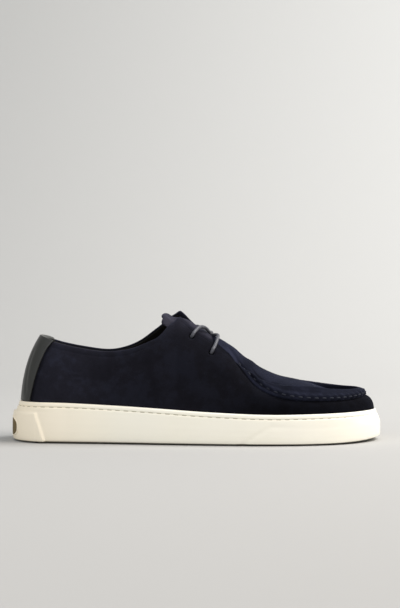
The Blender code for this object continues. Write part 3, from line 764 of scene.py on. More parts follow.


# Soft troughs pressed into the suede: from x, z to x, z on one side, width and depth in mm
Crease = namedtuple("Crease", "side start_x start_z end_x end_z width depth")
WALL_CREASES = [Crease(*row) for row in (
    (-1, -99, 56.5, -89, 56.0, 1.1, 0.35),
    (-1, -100, 52.5, -90, 52.0, 1.0, 0.40),
    (-1, -98, 48.6, -88, 48.4, 1.0, 0.35),
    (-1, -60, 58.0, -28, 66.0, 5.0, 0.45),
    (-1, -20, 42.0, 14, 50.0, 6.0, 0.40),
    (-1, 6, 62.0, 22, 50.0, 4.0, 0.45),
    (-1, 24, 36.0, 62, 33.0, 4.5, 0.45),
    (-1, -118, 44.0, -104, 60.0, 5.0, 0.40),
    (1, -62, 56.0, -30, 64.0, 5.0, 0.45),
    (1, -12, 44.0, 18, 52.0, 6.0, 0.40),
    (1, 20, 38.0, 56, 34.0, 4.5, 0.45),
    (1, -116, 46.0, -100, 60.0, 5.0, 0.40),
)]


def trough(a, b, crease):
    """How strongly a point is in a crease: 1 on its line."""
    return bell(segment_gap(a, b, *crease[1:5]), 0.0, crease.width)


ROLL_TOP, HOLLOW = 2.2, 1.6     # mm: width of the roll's top, and of the hollow inside it


def roll_points(t):
    """Outer side, top and inner side of the sewn roll, and the side of the apron, at t."""
    edge = edge_line(t)
    stand, roll, dip = edge[4:7]
    inward = -plan_normal(t)
    grown = min(stand / 5.0, 1.0)
    base = edge[:3]
    return [base + UP * stand * 0.30 - inward * 0.5 * grown,
            base + UP * stand * 0.70 + inward * roll * 0.35,
            base + UP * stand + inward * roll,
            base + UP * stand * 0.96 + inward * (roll + ROLL_TOP * grown),
            base + UP * (stand - dip) + inward * (roll + (ROLL_TOP + HOLLOW) * grown)]


@functools.lru_cache(maxsize=None)
def instep_sides(t):
    """The two sides of the apron at t and the height of its middle."""
    return roll_points(t)[-1], roll_points(LOOP - t)[-1], edge_line(t)[3]


def instep(t, share):
    """Outer surface between the two sides, from the facings' corners to the toe."""
    side_out, side_in, middle = instep_sides(t)
    arch = UP * (middle - (side_out[2] + side_in[2]) / 2) * 4 * share * (1 - share)
    return side_out + (side_in - side_out) * share + arch


@functools.lru_cache(maxsize=None)
def half_section(t):
    """The section from the seam's lower edge to the middle, as a fine line and its lengths."""
    near = t if t <= LAST else LOOP - t
    shares = [0.08, 0.18, 0.3, 0.4, 0.5]
    middle = [instep(near, f if t <= LAST else 1 - f) for f in shares]
    rows = [edge_line(t % LOOP)[:3]] + roll_points(t % LOOP) + middle
    gaps = np.linalg.norm(np.diff(rows, axis=0), axis=1)
    kept = [rows[0]] + [row for row, gap in zip(rows[1:], gaps) if gap > 0.02]
    curve = open_curve(np.array(kept))
    line = np.array([curve(k / 8) for k in range(8 * (len(kept) - 1) + 1)])
    return line, gone_along(line)


def section_spot(t, run):
    """Point of the section run mm from the seam's lower edge; below 0 it is on the wall."""
    if run < 0:
        return wall(t % LOOP, 1 + run / frame_at(t % LOOP)[2])
    line, gone = half_section(t)
    return np.array([np.interp(run, gone, line[:, k]) for k in range(3)])


def climb(t):
    """How far the wall's edge climbs the sewn roll at t."""
    return SEAM_REACH * smooth(min(t, LOOP - t), *REACH_FADE)


def wall_rows():
    """Rows of the strip: kind, place and inset, from inside the cup to the end of the fold."""
    rows = [("cup", 0.22, 0.0), ("cup", 0.1, 0.0)]
    rows += [("low", f, 0.0) for f in np.linspace(0, 1, 42)]
    rows += [("edge", d, 0.0) for d in (7.2, 6.4, 5.6, 5.2, 4.8, 4.4, 4.0, 3.2, 2.4, 1.6, 1.1, 0.8)]
    half = SUEDE * 0.5
    for k in range(9):
        turn = math.pi * k / 8
        rows.append(("edge", half * (1 - math.sin(turn)), half - half * math.cos(turn)))
    rows += [("edge", d, SUEDE) for d in (1.6, 2.6, 4.0, 5.5, FOLD_DOWN)]
    return rows


def strip_share(t, kind, value):
    """v of a strip's row; low rows share the wall up to the fine rows under its edge."""
    length = frame_at(t)[2]
    near = min(EDGE_ZONE, length * 0.5)
    return value * (1 - near / length) if kind == "low" else 1 - value * near / EDGE_ZONE / length


def on_strip(t, v, inset):
    """Point of a strip, with the facing's corner rounded."""
    v -= corner_drop(t) * smooth(v, 0.6, 1.0) / frame_at(t)[2]
    return wall(t, v) - wall_normal(t, v) * inset


def wall_place(t, row):
    """Point of the quarters and vamp wall, which at the toe climbs the sewn roll."""
    kind, value, inset = row
    t = t % LOOP
    if kind == "cup":
        return below_rim(t, value, 0.0)
    v, reach = strip_share(t, kind, value), climb(t)
    if kind == "low" or reach == 0:
        return on_strip(t, v, inset)
    near = min(EDGE_ZONE, frame_at(t)[2] * 0.5)
    under = value * near / EDGE_ZONE
    spot = section_spot(t, reach * (1 - min(under / near, 1.0)) - under)
    return spot - wall_normal(t, min(v, 1.0)) * inset


def wall_relief(t, row, spot):
    """Creases, the line where the fold is sewn, and the pull round the eyelets."""
    kind, value, inset = row
    if kind == "cup" or inset > 0.0:
        return 0.0
    side = -1 if t < LAST else 1
    lift = -sum(c.depth * trough(spot[0], spot[2], c) for c in WALL_CREASES if c.side == side)
    near = min(t, LOOP - t)
    if near < THROAT and kind == "edge":
        lift += (0.25 * bell(value, 2.2, 1.6) - 0.24 * bell(value, 4.9, 0.6)) * \
            (1 - smooth(near, THROAT - 0.8, THROAT))
    for hole, share in EYELETS:
        centre = wall(hole if side < 0 else LOOP - hole, share)
        lift -= 0.7 * bell(float(np.linalg.norm(spot - centre)), 0.0, 3.2)
    rough = math.sin(spot[0] * 0.11 + spot[2] * 0.07) * math.sin(spot[2] * 0.16 - spot[0] * 0.05)
    return lift + 0.16 * rough * (1 - smooth(near, 15, 17))


def wall_painted_light(t, row, spot):
    """Painted light on the suede: a painted sheen lighter at the heel, painted shade darker to the toe
    and low on its front, painted light on the top and near the facings' edges, painted highlights on
    the folded edges, and painted shadow on the facing's edge along the throat and beside the heel tab.
    The turned-in fold is lighter ahead of the throat.
    """
    kind, value, inset = row
    # Painted sheen lighter at the heel, painted shade darker to the toe.
    shade = np.interp(spot[0], (-112, -90, -66, -45, 0, 60), (1.1, 0.9, 0.3, 0.1, -0.2, -0.45))
    # Painted shade low on the front of the wall, under the sewn roll.
    low = (1 - smooth(spot[2], 27, 42)) * smooth(spot[0], -10, 40)
    shade -= (1 + shade) * 0.35 * low
    near = min(t, LOOP - t)
    throat = smooth(near, 8.6, 9.1)
    # Painted light on the top of the collar and facings; the turned-in fold is lighter ahead of the
    # throat.
    shade += 1.3 * smooth(spot[2], 82, 99) + (1.0 - throat if inset > 0 else 0.0)
    # Painted light near the facing's edge between the eyelets.
    shade += 0.8 * bell(near, 8.5, 0.6) * (1 - smooth(value, 1.0, 7.0) if kind == "edge" else 0.0)
    # Painted shadow on the facing's edge along the throat.
    if kind == "edge":
        shade -= (1 + shade) * 0.95 * bell(value, 0.2, 1.5) * throat * (1 - smooth(near, 11.4, 12.2))
    # Painted shadow on the suede beside the heel tab's front edge.
    tab_edge = 1.46 + 0.4 * min(max((spot[2] - 31) / 49, 0), 1)
    shade -= (1 + shade) * 0.6 * bell(near, tab_edge, 0.07)
    # Painted highlight along the folded edges of the collar and facings.
    if kind == "edge":
        shade += bell(value, 0.3, 0.7) * (0.5 if near < 6 else 0.9) * (1 - smooth(near, 8.7, 9.2))
    return shade


def punch(thing, centre, normal, radius, wall_depth):
    """Cut a round hole: points inside it go, the ring round it is drawn to a circle, and its edge
    is turned inwards."""
    model = bmesh.new()
    model.from_mesh(thing.data)
    centre, normal = Vector(centre) * MM, Vector(normal)
    radius *= MM

    def spread(point):
        away = point - centre
        return away - normal * away.dot(normal), abs(away.dot(normal))

    inside = [v for v in model.verts if spread(v.co)[0].length < radius * 0.92
              and spread(v.co)[1] < 0.004]
    ring = {o for v in inside for face in v.link_faces for o in face.verts} - set(inside)
    bmesh.ops.delete(model, geom=inside, context="VERTS")
    for vertex in ring:
        away = spread(vertex.co)[0]
        vertex.co += away.normalized() * radius - away
    edges = [e for e in model.edges if e.is_boundary and all(v in ring for v in e.verts)]
    for depth in (0.25, wall_depth):
        made = bmesh.ops.extrude_edge_only(model, edges=edges)["geom"]
        for vertex in (g for g in made if isinstance(g, bmesh.types.BMVert)):
            vertex.co -= normal * depth * MM
        edges = [g for g in made if isinstance(g, bmesh.types.BMEdge)]
    model.to_mesh(thing.data)
    model.free()


def round_the_shoe(pitch):
    """Values of t all the way round, the same on both sides, with the facings' corners among them."""
    half = paced(0, CORNER, pitch) + paced(CORNER, LAST, pitch)[1:]
    return half + [LOOP - t for t in reversed(half[:-1])]


strip_places = round_the_shoe(WALL_PITCH)
quarters = laid("quarters_and_vamp_wall", strip_places, wall_rows(), wall_place, wall_relief,
                wall_painted_light, closed=True)
eyelet_places = [(LOOP - t if inner else t, v) for inner in (False, True) for t, v in EYELETS]
for t, v in eyelet_places:
    punch(quarters, wall(t, v), wall_normal(t, v), HOLE / 2, SUEDE)

# Navy cow suede, brushed: a matt nap with cloudy lights and darks where it was stroked, a fine
# pebbly grain of fibres, and a soft bloom at grazing angles.
NAP_DARK, NAP_MID, NAP_LIGHT = "111116", "15151b", "191a22"


def suede(name, dark, middle, light, bloom):
    """Brushed suede in three tones; patches 30 mm and 6 mm wide, fibres about 0.7 mm."""
    material = new_material(name, Roughness=0.95, Specular_IOR_Level=0.03,
                            Sheen_Weight=bloom, Sheen_Roughness=0.35,
                            Sheen_Tint=linear("8f97b8"))
    place = add_node(material, "TexCoord").outputs["Object"]
    broad = add_node(material, "TexNoise", Vector=place, Scale=32.0, Detail=4.0, Roughness=0.6)
    patch = add_node(material, "TexNoise", Vector=place, Scale=170.0, Detail=3.0, Roughness=0.6)
    fibre = add_node(material, "TexNoise", Vector=place, Scale=1400.0, Detail=3.0, Roughness=0.7)
    mixed = add_node(material, "Math", {"operation": "MULTIPLY_ADD"}, _0=patch, _1=0.45, _2=broad)
    napped = add_node(material, "Math", {"operation": "MULTIPLY_ADD"}, _0=fibre, _1=0.35, _2=mixed)
    ramp = add_node(material, "ValToRGB", Fac=napped)
    stops = ramp.color_ramp.elements
    stops[0].position, stops[0].color = 0.62, linear(dark)
    stops[1].position, stops[1].color = 1.0, linear(light)
    stop = stops.new(0.86)
    stop.color = linear(middle)
    # The base colour is scaled by each piece's painted light: painted sheen, painted shade and painted
    # highlights kept per point.
    painted_light_input = add_node(material, "Attribute", {"attribute_name": "nap_and_painted_light"})
    share = add_node(material, "Math", {"operation": "ADD"}, _0=painted_light_input.outputs["Fac"], _1=1.0)
    lit = add_node(material, "VectorMath", {"operation": "SCALE"}, _0=ramp, Scale=share)
    feed(material, "Base Color", lit)
    soft = add_node(material, "Bump", Height=patch, Strength=0.35, Distance=0.0006)
    nap_and_painted_light = add_node(material, "Bump", Height=fibre, Strength=0.7, Distance=0.0004, Normal=soft)
    feed(material, "Normal", nap_and_painted_light)
    return material


navy_suede = suede("brushed_navy_suede", NAP_DARK, NAP_MID, NAP_LIGHT, 0.10)
finish_piece(quarters, navy_suede, "upper", "upper")


# ---- Lining -------------------------------------------------------------------------------------
# Thin dark brown-black leather inside the quarters and vamp, sewn to the fold and lasted under the
# footbed.

WALL = 2.0                      # mm from the suede's face to the lining's
FACING_SHOWS = 4.0              # mm of suede turned inside along the facings


def lining_place(t, row):
    """Point of the lining: it starts under the fold's end and covers the fold's inner side."""
    kind, value, inset = row
    t = t % LOOP
    if kind == "cup":
        return below_rim(t, value, -inset)
    if kind == "edge":
        value += FACING_SHOWS * smooth(min(t, LOOP - t), 6.6, 7.3) * (1 - value / EDGE_ZONE)
    return on_strip(t, strip_share(t, kind, value), inset)


lining_rows = [("edge", 2.2, SUEDE + 0.02), ("edge", 1.6, SUEDE + 0.15), ("edge", 1.45, SUEDE + 0.4),
               ("edge", 1.7, WALL - 0.05), ("edge", 2.4, WALL), ("edge", 4.0, WALL),
               ("edge", 6.0, WALL)]
lining_rows += [("low", f, WALL) for f in np.linspace(1, 0, 16)]
lining_rows += [("cup", f, WALL) for f in (0.3, 0.6, 1.0)]
lining = laid("quarter_lining", round_the_shoe(2.4), lining_rows, lining_place,
              lambda t, row, spot: 0.3 * bell(row[1], 5.0, 0.8) if row[0] == "edge" else 0.0,
              closed=True)
for t, v in eyelet_places:
    punch(lining, wall(t, v) - wall_normal(t, v) * WALL, wall_normal(t, v), HOLE / 2 + 0.3, -0.5)

# Pigskin-weight lining leather, dyed through, matt with a fine pore grain about 1 mm apart.
lining_leather = new_material("matt_lining_leather", Base_Color=linear("191713"),
                              Roughness=0.72, Specular_IOR_Level=0.25)
place = add_node(lining_leather, "TexCoord").outputs["Object"]
pores = add_node(lining_leather, "TexVoronoi", Vector=place, Scale=900.0)
pebble = add_node(lining_leather, "Bump", Height=pores, Strength=0.3, Distance=0.0003)
feed(lining_leather, "Normal", pebble)
finish_piece(lining, lining_leather, "insole")


# ---- Apron --------------------------------------------------------------------------------------
# The suede plug over the toes. Its edge is drawn up into a roll, hand sewn to the wall with thick
# thread, and the stitches gather it into small puckers. Behind the toe it rises to the throat.

# station, then mm from the wall's edge to the stitches
STITCH_RUN = [(9.8, 12.0), (10.7, 11.0), (11.4, 8.4), (12.1, 5.9), (12.7, 4.4), (13.6, 3.5),
              (15.0, 3.1), (18.0, 2.8)]
APRON_PITCH = 6.5          # mm between stitches
APRON_START = 9.1          # station of its rear edge, under the lace
FIRST_STITCH = 10.75       # its station
APRON_GRID = 0.65          # mm between its rows


def band(t):
    """Distance of the stitches from the wall's edge at t."""
    near = t if t <= LAST else LOOP - t
    return float(np.interp(near, [row[0] for row in STITCH_RUN], [row[1] for row in STITCH_RUN]))


UNDER, TUCK = 1.4, 2.0     # mm that the apron reaches under the wall's edge; more at the throat
APRON_LOW = 1.5            # mm that it lies under the wall's surface there
TONGUE_PRESS = 2.3         # mm that the lace presses the tongue and the apron's end down


def pressed(t):
    """How far the lace presses the throat down at t."""
    return TONGUE_PRESS * smooth(t, 8.2, 8.8) * (1 - smooth(t, 9.1, 9.9))


@functools.lru_cache(maxsize=None)
def instep_normal(t, share):
    """Unit vector out of the throat or apron."""
    low, high = max(share - 0.02, 0.0), min(share + 0.02, 1.0)
    ahead = instep(min(t + 0.02, LAST - 0.01), share) - instep(t - 0.02, share)
    return unit(np.cross(ahead, instep(t, high) - instep(t, low)))


apron_columns = ([(-1, "fine", k / 30) for k in range(31)] + [(-1, "rest", k / 26) for k in range(1, 27)]
                 + [(1, "rest", k / 26) for k in range(25, 0, -1)]
                 + [(1, "fine", k / 30) for k in range(30, -1, -1)])


def apron_seat(column, t):
    """Side, place round the loop and mm from the wall's edge of a column at t; fine columns end
    4 mm past the stitches."""
    side, kind, value = column
    place = t if side < 0 else LOOP - t
    whole = half_section(place)[1][-1]
    turn = min(band(place) + 4.0, whole * 0.8)
    start = climb(t) - UNDER - TUCK * (1 - smooth(t, *SEAM_FADE))
    run = start + (turn - start) * value if kind == "fine" else turn + (whole - turn) * value
    return side, place, run


def apron_place(column, t):
    """Point of the apron: it lies inside the wall along the throat, and on the tongue at its end."""
    side, place, run = apron_seat(column, t)
    spot, over, line = section_spot(place, run), smooth(t, *SEAM_FADE), band(place)
    if over == 1:
        return spot
    turn = smooth(run, -3.0, 4.0)
    share = min(max(run, 0.0) / half_section(place)[1][-1], 1.0) / 2
    across = max(share, 0.06) if side < 0 else 1 - max(share, 0.06)
    normal = wall_normal(place % LOOP, 1.0) * (1 - turn) + instep_normal(t, across) * turn
    rear = 1 - smooth(t, 9.7, 10.5)
    low = (1 - rear) * APRON_LOW * (1 - smooth(run, line, line + 4))
    low += rear * (APRON_LOW + pressed(t) * 4 * share * (1 - share))
    return spot - unit(normal) * low * (1 - over)


seam_places = np.linspace(THROAT - 1, LOOP - THROAT + 1, 1200)
seam_gone = gone_along(np.array([edge_line(float(t))[:3] for t in seam_places]))


def stitch_wave(t):
    """1 at the middle of each stitch of the seam, and -1 between two."""
    start = np.interp(FIRST_STITCH, seam_places, seam_gone)
    return math.cos(2 * math.pi * ((np.interp(t, seam_places, seam_gone) - start) / APRON_PITCH))


# Long soft folds beside the seam: from x and mm over the stitches to x and mm
Fold = namedtuple("Fold", "side start_x start_run end_x end_run width depth")
APRON_FOLDS = [Fold(*row) for row in (
    (-1, 46, 5.0, 96, 5.6, 1.3, 0.55),
    (-1, 50, 8.5, 106, 9.0, 1.5, 0.50),
    (-1, 46, 12.5, 88, 15.0, 1.7, 0.50),
    (-1, 62, 17.0, 112, 19.0, 2.2, 0.40),
    (1, 46, 5.0, 94, 5.6, 1.3, 0.55),
    (1, 52, 9.5, 100, 9.5, 1.7, 0.50),
)]


def apron_relief(column, t, spot):
    """The seam's overlap, its sunk stitches and puckers, and the folds."""
    side, place, run = apron_seat(column, t)
    over, line = smooth(t, *SEAM_FADE), band(place)
    edge = smooth(run - climb(t), -UNDER, 1.8)
    lift = over * (0.75 * edge - 0.3) * (1 - smooth(run, line, line + 4))
    sewn_here = smooth(t, 10.4, 10.9) * (0.3 + 0.7 * smooth(t, 11.0, 12.4))
    wave = stitch_wave(place)
    away = run - line
    lift -= sewn_here * (0.55 + 0.35 * wave) * bell(away, 0, 0.95)
    lift += smooth(run, line, line + 4) * 0.9 * bell(t, 11.6, 0.35)
    lift += sewn_here * (0.30 - 0.34 * wave) * bell(away, 2.0, 1.1)
    lift += sewn_here * (0.10 - 0.26 * wave) * bell(away, -1.9, 0.9)
    lift -= sum(f.depth * trough(spot[0], away, f) for f in APRON_FOLDS if f.side == side)
    return lift


def apron_painted_light(column, t, spot):
    """Painted light and shade on the apron: lighter along its top, near the throat and over the
    stitches; painted shade down in the seam, between the stitches, beside the wall's edge, in the
    folds and in the hollow behind the toe's roll.
    """
    side, place, run = apron_seat(column, t)
    shade = np.interp(spot[0], (20, 45, 60, 85, 100, 130), (-0.2, -0.2, 0.0, 0.3, 0.3, 0.1))
    shade += (0.75 - 0.3 * smooth(run, 8, 16)) * smooth(run, 3.6, 5.6) * (1 - smooth(t, 10.4, 11.4))
    away = run - band(place)
    wave = stitch_wave(place)
    sewn_here = smooth(t, 10.4, 10.9)
    shade -= 0.55 * sewn_here * (0.7 - 0.3 * wave) * bell(away, -0.2, 1.1)
    rear = 1 - smooth(t, 10.6, 12.6)
    shade -= (0.3 + 0.5 * rear) * bell(run - climb(t), 0.2 + 2.2 * rear, 1.0 + 1.1 * rear)
    shade += 0.5 * smooth(run, 1.2, 2.5) * (1 - smooth(away, -3.0, -1.2)) * \
        smooth(t, 10.6, 11.6) * (1 - smooth(t, 12.4, 13.6))
    top = math.hypot(*edge_line(place)[4:6]) + 1.5
    shade -= 0.7 * smooth(run - top, 0.5, 2.5) * (1 - smooth(run - top, 7, 13)) * smooth(t, 14.4, 15.5)
    shade -= sum(0.42 * trough(spot[0], away, f) for f in APRON_FOLDS if f.side == side)
    return max(shade, -0.85)


def shaped(thing, kind, **settings):
    """Add a modifier with these settings, and apply it."""
    modifier = thing.modifiers.new(kind.lower(), kind)
    for name, value in settings.items():
        setattr(modifier, name, value)
    deselect()
    bpy.context.view_layer.objects.active = thing
    thing.select_set(True)
    bpy.ops.object.modifier_apply(modifier=modifier.name)


apron_rows = list(reversed(paced(APRON_START, LAST, APRON_GRID)))
apron = laid("apron", apron_columns, apron_rows, apron_place, apron_relief, apron_painted_light)
shaped(apron, "SOLIDIFY", thickness=SUEDE * MM, offset=-1.0)
# This copy of the suede is painted a little lighter than the wall's, painted light for the light on the
# apron's top.
apron_suede = suede("brushed_navy_suede_apron_painted_lighter", "13141c", "171923", "1d1f2b", 0.12)
finish_piece(apron, apron_suede, "upper")


# ---- Apron stitches -----------------------------------------------------------------------------
# Hand-sewn running stitches in thick waxed thread, a shade lighter than the suede, sunk a little
# between the puckers.

STITCH_LENGTH, STITCH_THREAD = 4.3, 1.3      # mm

spots = []
first = float(np.interp(FIRST_STITCH, seam_places, seam_gone))
last = float(np.interp(LOOP - FIRST_STITCH, seam_places, seam_gone))
for k in range(int((last - first) / APRON_PITCH) + 1):
    place = float(np.interp(first + k * APRON_PITCH, seam_gone, seam_places))
    near = min(place, LOOP - place)
    over, line = smooth(near, *SEAM_FADE), band(place)
    run = section_spot(place + 0.03, band(place + 0.03)) - section_spot(place - 0.03, band(place - 0.03))
    rise = section_spot(place, line + 0.6) - section_spot(place, line - 0.6)
    normal = unit(np.cross(run, rise))
    sink = -APRON_LOW + over * 1.95 - 0.15 - 0.4 * smooth(near, 11.0, 12.4)
    spots.append((section_spot(place, line) + normal * (sink + 0.1), run, normal))
apron_stitches = sewn("apron_stitches", stitch_bar("apron_stitch", STITCH_LENGTH, STITCH_THREAD, 0.9),
                      spots)
# Waxed linen thread, dyed slate blue.
seam_thread = new_material("waxed_slate_thread", Base_Color=linear("22252f"), Roughness=0.7,
                           Specular_IOR_Level=0.2)
finish_piece(apron_stitches, seam_thread, "upper")


# ---- Tongue -------------------------------------------------------------------------------------
# Suede over soft leather, lying under the facings and tucked under the apron, with a thick rounded
# top that leans back over the collar.

TONGUE, TONGUE_PLAY, TONGUE_EASE = 3.0, 0.25, 2.5   # mm: thickness; play to the facings; more at its end
TONGUE_TUCK = 0.2                       # share of the wall that it reaches down the facings
ROUND_IN, ROUND_OUT = 0.55, 0.08        # how far the end's inner and outer corners are rounded
TONGUE_STATIONS, TUCKED = [7.0, 7.5, 8.0, 8.5, 9.0, 9.5, 10.0], [10.35, 10.75]
End = namedtuple("End", "back lift width flat thick")
TONGUE_END = [End(*row) for row in (
    (-3.0,  -0.2, 0.92, 0.95, 3.4),
    (-6.2,   0.5, 0.87, 0.88, 4.4),
    (-9.6,   3.2, 0.83, 0.76, 5.6),
    (-12.6,  3.9, 0.75, 0.62, 5.6),
    (-14.6,  1.8, 0.64, 0.44, 3.0),
)]


def tongue_section(t):
    """Top surface across the shoe at t, from under one facing to under the other, with normals."""
    tuck = 1.0 - TONGUE_TUCK * min(THROAT - t, 2.0) / 2
    outer = [(wall(t, v), wall_normal(t, v)) for v in (tuck, (1 + tuck) / 2)]
    inner = [(wall(LOOP - t, v), wall_normal(LOOP - t, v)) for v in ((1 + tuck) / 2, tuck)]
    press = pressed(t) - 3.2 * bell(t, 7.45, 0.5)
    middle = [(instep(t, f / 5), instep_normal(t, f / 5)) for f in range(6)]
    middle = [(p - n * press * 4 * f / 5 * (1 - f / 5), n) for f, (p, n) in enumerate(middle)]
    return outer + middle + inner


def tongue_rows():
    """Top and bottom rows of the tongue, from its rounded end to under the apron."""
    rows = [tongue_section(t) for t in TONGUE_STATIONS]
    count = len(rows[0])
    for t in TUCKED:
        shares = [0.05 + 0.9 * f / (count - 1) for f in range(count)]
        rows.append([(instep(t, f), instep_normal(t, f)) for f in shares])
    low = [WALL + GAP + TONGUE_PLAY + TONGUE_EASE * max(1.0 - (t - CORNER), 0.0)
           for t in TONGUE_STATIONS + TUCKED]
    tops = [[p - n * d for p, n in row] for row, d in zip(rows, low)]
    bases = [[p - n * (d + TONGUE) for p, n in row] for row, d in zip(rows, low)]
    first = tops[0]
    centre = (first[count // 2 - 1] + first[count // 2]) / 2
    down = [(b - a) / TONGUE for a, b in zip(first, bases[0])]
    for end in TONGUE_END:
        spread = np.array([1.0, end.width, end.flat])
        top = []
        for k, p in enumerate(first):
            across = 2 * k / (count - 1) - 1
            round_off = 1 - (ROUND_IN if across > 0 else ROUND_OUT) * abs(across) ** 3
            top.append(centre + (p - centre) * spread + np.array([end.back * round_off, 0.0, end.lift]))
        curl = min(-end.back / 6.0, 1.0) * np.array([1.4, 0.0, -0.4])
        tops.insert(0, top)
        bases.insert(0, [p + unit(n + curl) * end.thick for p, n in zip(top, down)])
    return tops, bases


tongue_tops, tongue_bases = tongue_rows()
tongue_loops = [top + base[::-1] + [top[0]] for top, base in zip(tongue_tops, tongue_bases)]
ends = [[(a + b) / 2 for a, b in zip(top + base[::-1] + [top[0]], base + top[::-1] + [base[0]])]
        for top, base in ((tongue_tops[0], tongue_bases[0]), (tongue_tops[-1], tongue_bases[-1]))]
tongue_grid = [ends[0]] + tongue_loops + [ends[1]]
tongue = laid("suede_tongue", list(range(len(tongue_grid[0]))), list(range(len(tongue_grid))),
              lambda c, r: tongue_grid[r][c], closed=True)
shaped(tongue, "SUBSURF", levels=3, render_levels=3)
bpy.ops.object.mode_set(mode="EDIT")
bpy.ops.mesh.select_all(action="SELECT")
bpy.ops.mesh.normals_make_consistent(inside=False)
bpy.ops.object.mode_set(mode="OBJECT")
facing_edges = np.array([wall(side, 1.0) for k in range(71)
                         for side in (CORNER + k / 20, LOOP - (CORNER + k / 20))])
# Painted shadow on the tongue: darker beside the facings' edges, and a little darker over the instep
# ahead of its rounded top.
shades = []
for vertex in tongue.data.vertices:
    spot = np.array(vertex.co) / MM
    gap = float(np.linalg.norm(facing_edges - spot, axis=1).min())
    on_instep = smooth(spot[0], -14, -4)
    shades.append(-on_instep * (0.2 * smooth(spot[0], -4, 6) + 0.75 * (1 - smooth(gap, 3.2, 5.6))))
tongue.data.attributes.new("nap_and_painted_light", "FLOAT", "POINT").data.foreach_set("value", shades)
# This copy of the suede is painted about twice as light as the wall's, painted light for the light the
# tongue's top catches.
tongue_suede = suede("brushed_navy_suede_tongue_painted_lighter", "201f26", "2a2931", "34333c", 0.2)
finish_piece(tongue, tongue_suede, "tongue", "tongue")


# ---- Heel tab -----------------------------------------------------------------------------------
# A strip of smooth dark grey calf over the back seam. It widens to the collar, turns over its edge
# and is sewn down inside.

TAB, TAB_EDGE = 1.1, 0.4       # mm thick, and its rounded edge
TAB_HALF, TAB_SPREAD, TAB_FLARE, TAB_NECK = 1.40, 0.38, 0.18, 0.78      # stations


def tab_place(f, row):
    """Point of the strip: f is -1 to 1 across it; rows run up, over the collar and down inside."""
    kind, value = row
    v = value if kind == "out" else 1.0
    flare = max((v - TAB_NECK) / (1 - TAB_NECK), 0.0) ** 2
    spread = (TAB_SPREAD * v + TAB_FLARE * flare) * (1.0 if f > 0 else 0.1)
    t = (f * (TAB_HALF + spread)) % LOOP
    if kind == "out":
        return wall(t, v) + wall_normal(t, v) * (GAP + TAB)
    middle, reach = wall(t, 1.0) - wall_normal(t, 1.0) * WALL / 2, WALL / 2 + GAP + TAB
    if kind == "over":
        level = wall_normal(t, 1.0)
        return middle + level * reach * math.cos(value) + UP * reach * 0.4 * math.sin(value)
    inside = 1 - value / frame_at(t)[2]
    return wall(t, inside) - wall_normal(t, inside) * (WALL + GAP + TAB)


tab_rows = [("out", f) for f in np.linspace(0.01, 0.995, 40)]
tab_rows += [("over", math.pi * k / 8) for k in range(1, 8)]
tab_rows += [("in", d) for d in (0.5, 2.0, 4.0, 6.0, 8.0)]
tab = laid("heel_tab", [f / 24 for f in range(-24, 25)], tab_rows, tab_place,
           lambda f, row, spot: 0.35 * math.sqrt(max(1 - f * f, 0.0)) - 0.2
           - 0.4 * trough(spot[1], spot[2], Crease(0, -14.5, 72, -19.0, 40, 1.8, 1)))
shaped(tab, "SOLIDIFY", thickness=(TAB - 0.1) * MM, offset=-1.0)
shaped(tab, "BEVEL", width=TAB_EDGE * MM, segments=3, angle_limit=math.radians(50))
bpy.ops.object.shade_smooth_by_angle(angle=math.radians(50))

# Box calf, finished smooth: dark grey with faint cloudy wear, fine grain 0.8 mm across, half gloss.
calf = new_material("smooth_grey_calf", Roughness=0.38, Specular_IOR_Level=0.5)
place = add_node(calf, "TexCoord").outputs["Object"]
cloud = add_node(calf, "TexNoise", Vector=place, Scale=60.0, Detail=4.0)
tone = add_node(calf, "Mix", COLOURS, _0=cloud, _6=linear("1d1e1c"), _7=linear("2a2b27"))
feed(calf, "Base Color", tone.outputs[2])
pores = add_node(calf, "TexVoronoi", Vector=place, Scale=1250.0)
grain = add_node(calf, "Bump", Height=pores, Strength=0.15, Distance=0.0002)
feed(calf, "Normal", grain)
finish_piece(tab, calf, "backtab", "backtab")


# ---- Footbed ------------------------------------------------------------------------------------
# A loose insole of foam under dark lining leather, cut to the cup's outline and dished at the heel.
# It lies on the cup's floor, and only its top shows, through the collar.

INSOLE, INSOLE_ROUND = 5.0, 1.5         # mm thick, and the rounding of its top edge
FOOTBED_INSET = -(WALL + GAP + 0.1)


def footbed_edge(t, row):
    """Side of the footbed, from its bottom to its rounded top edge."""
    height, inset = row
    return below_rim(t, 1.0, FOOTBED_INSET - inset) + UP * height


def footbed_top(share, t):
    """Top of the footbed between its two rounded edges, a little dished."""
    one, two = [footbed_edge(side, (INSOLE, INSOLE_ROUND)) for side in (t, LOOP - t)]
    spot = one + (two - one) * share
    dish = 4 * share * (1 - share)
    return spot - UP * dish * (1.2 if spot[0] < -60 else 0.7)


edge_rows = [(0.0, 0.0), (2.0, 0.0), (3.6, 0.1), (4.5, 0.6), (INSOLE, INSOLE_ROUND)]
bed_places = round_the_shoe(3.0)
bed_half = [t for t in bed_places if t <= LAST]
bed_side = laid("bed_side", bed_places, edge_rows, footbed_edge, closed=True)
bed_top = laid("bed_top", [f / 20 for f in range(21)], list(reversed(bed_half)), footbed_top)
bed_base = laid("bed_base", [0.0, 0.5, 1.0], bed_half,
                lambda share, t: across_cup(share, t, FOOTBED_INSET))
footbed = joined("footbed", [bed_side, bed_top, bed_base])
finish_piece(footbed, lining_leather, "insole", "insole")


# ---- Lace ---------------------------------------------------------------------------------------
# Round waxed cotton cord, 2.6 mm thick, whose two runs cross once over the tongue. Each goes down
# through an eyelet at both ends, and stops just under it, out of sight.

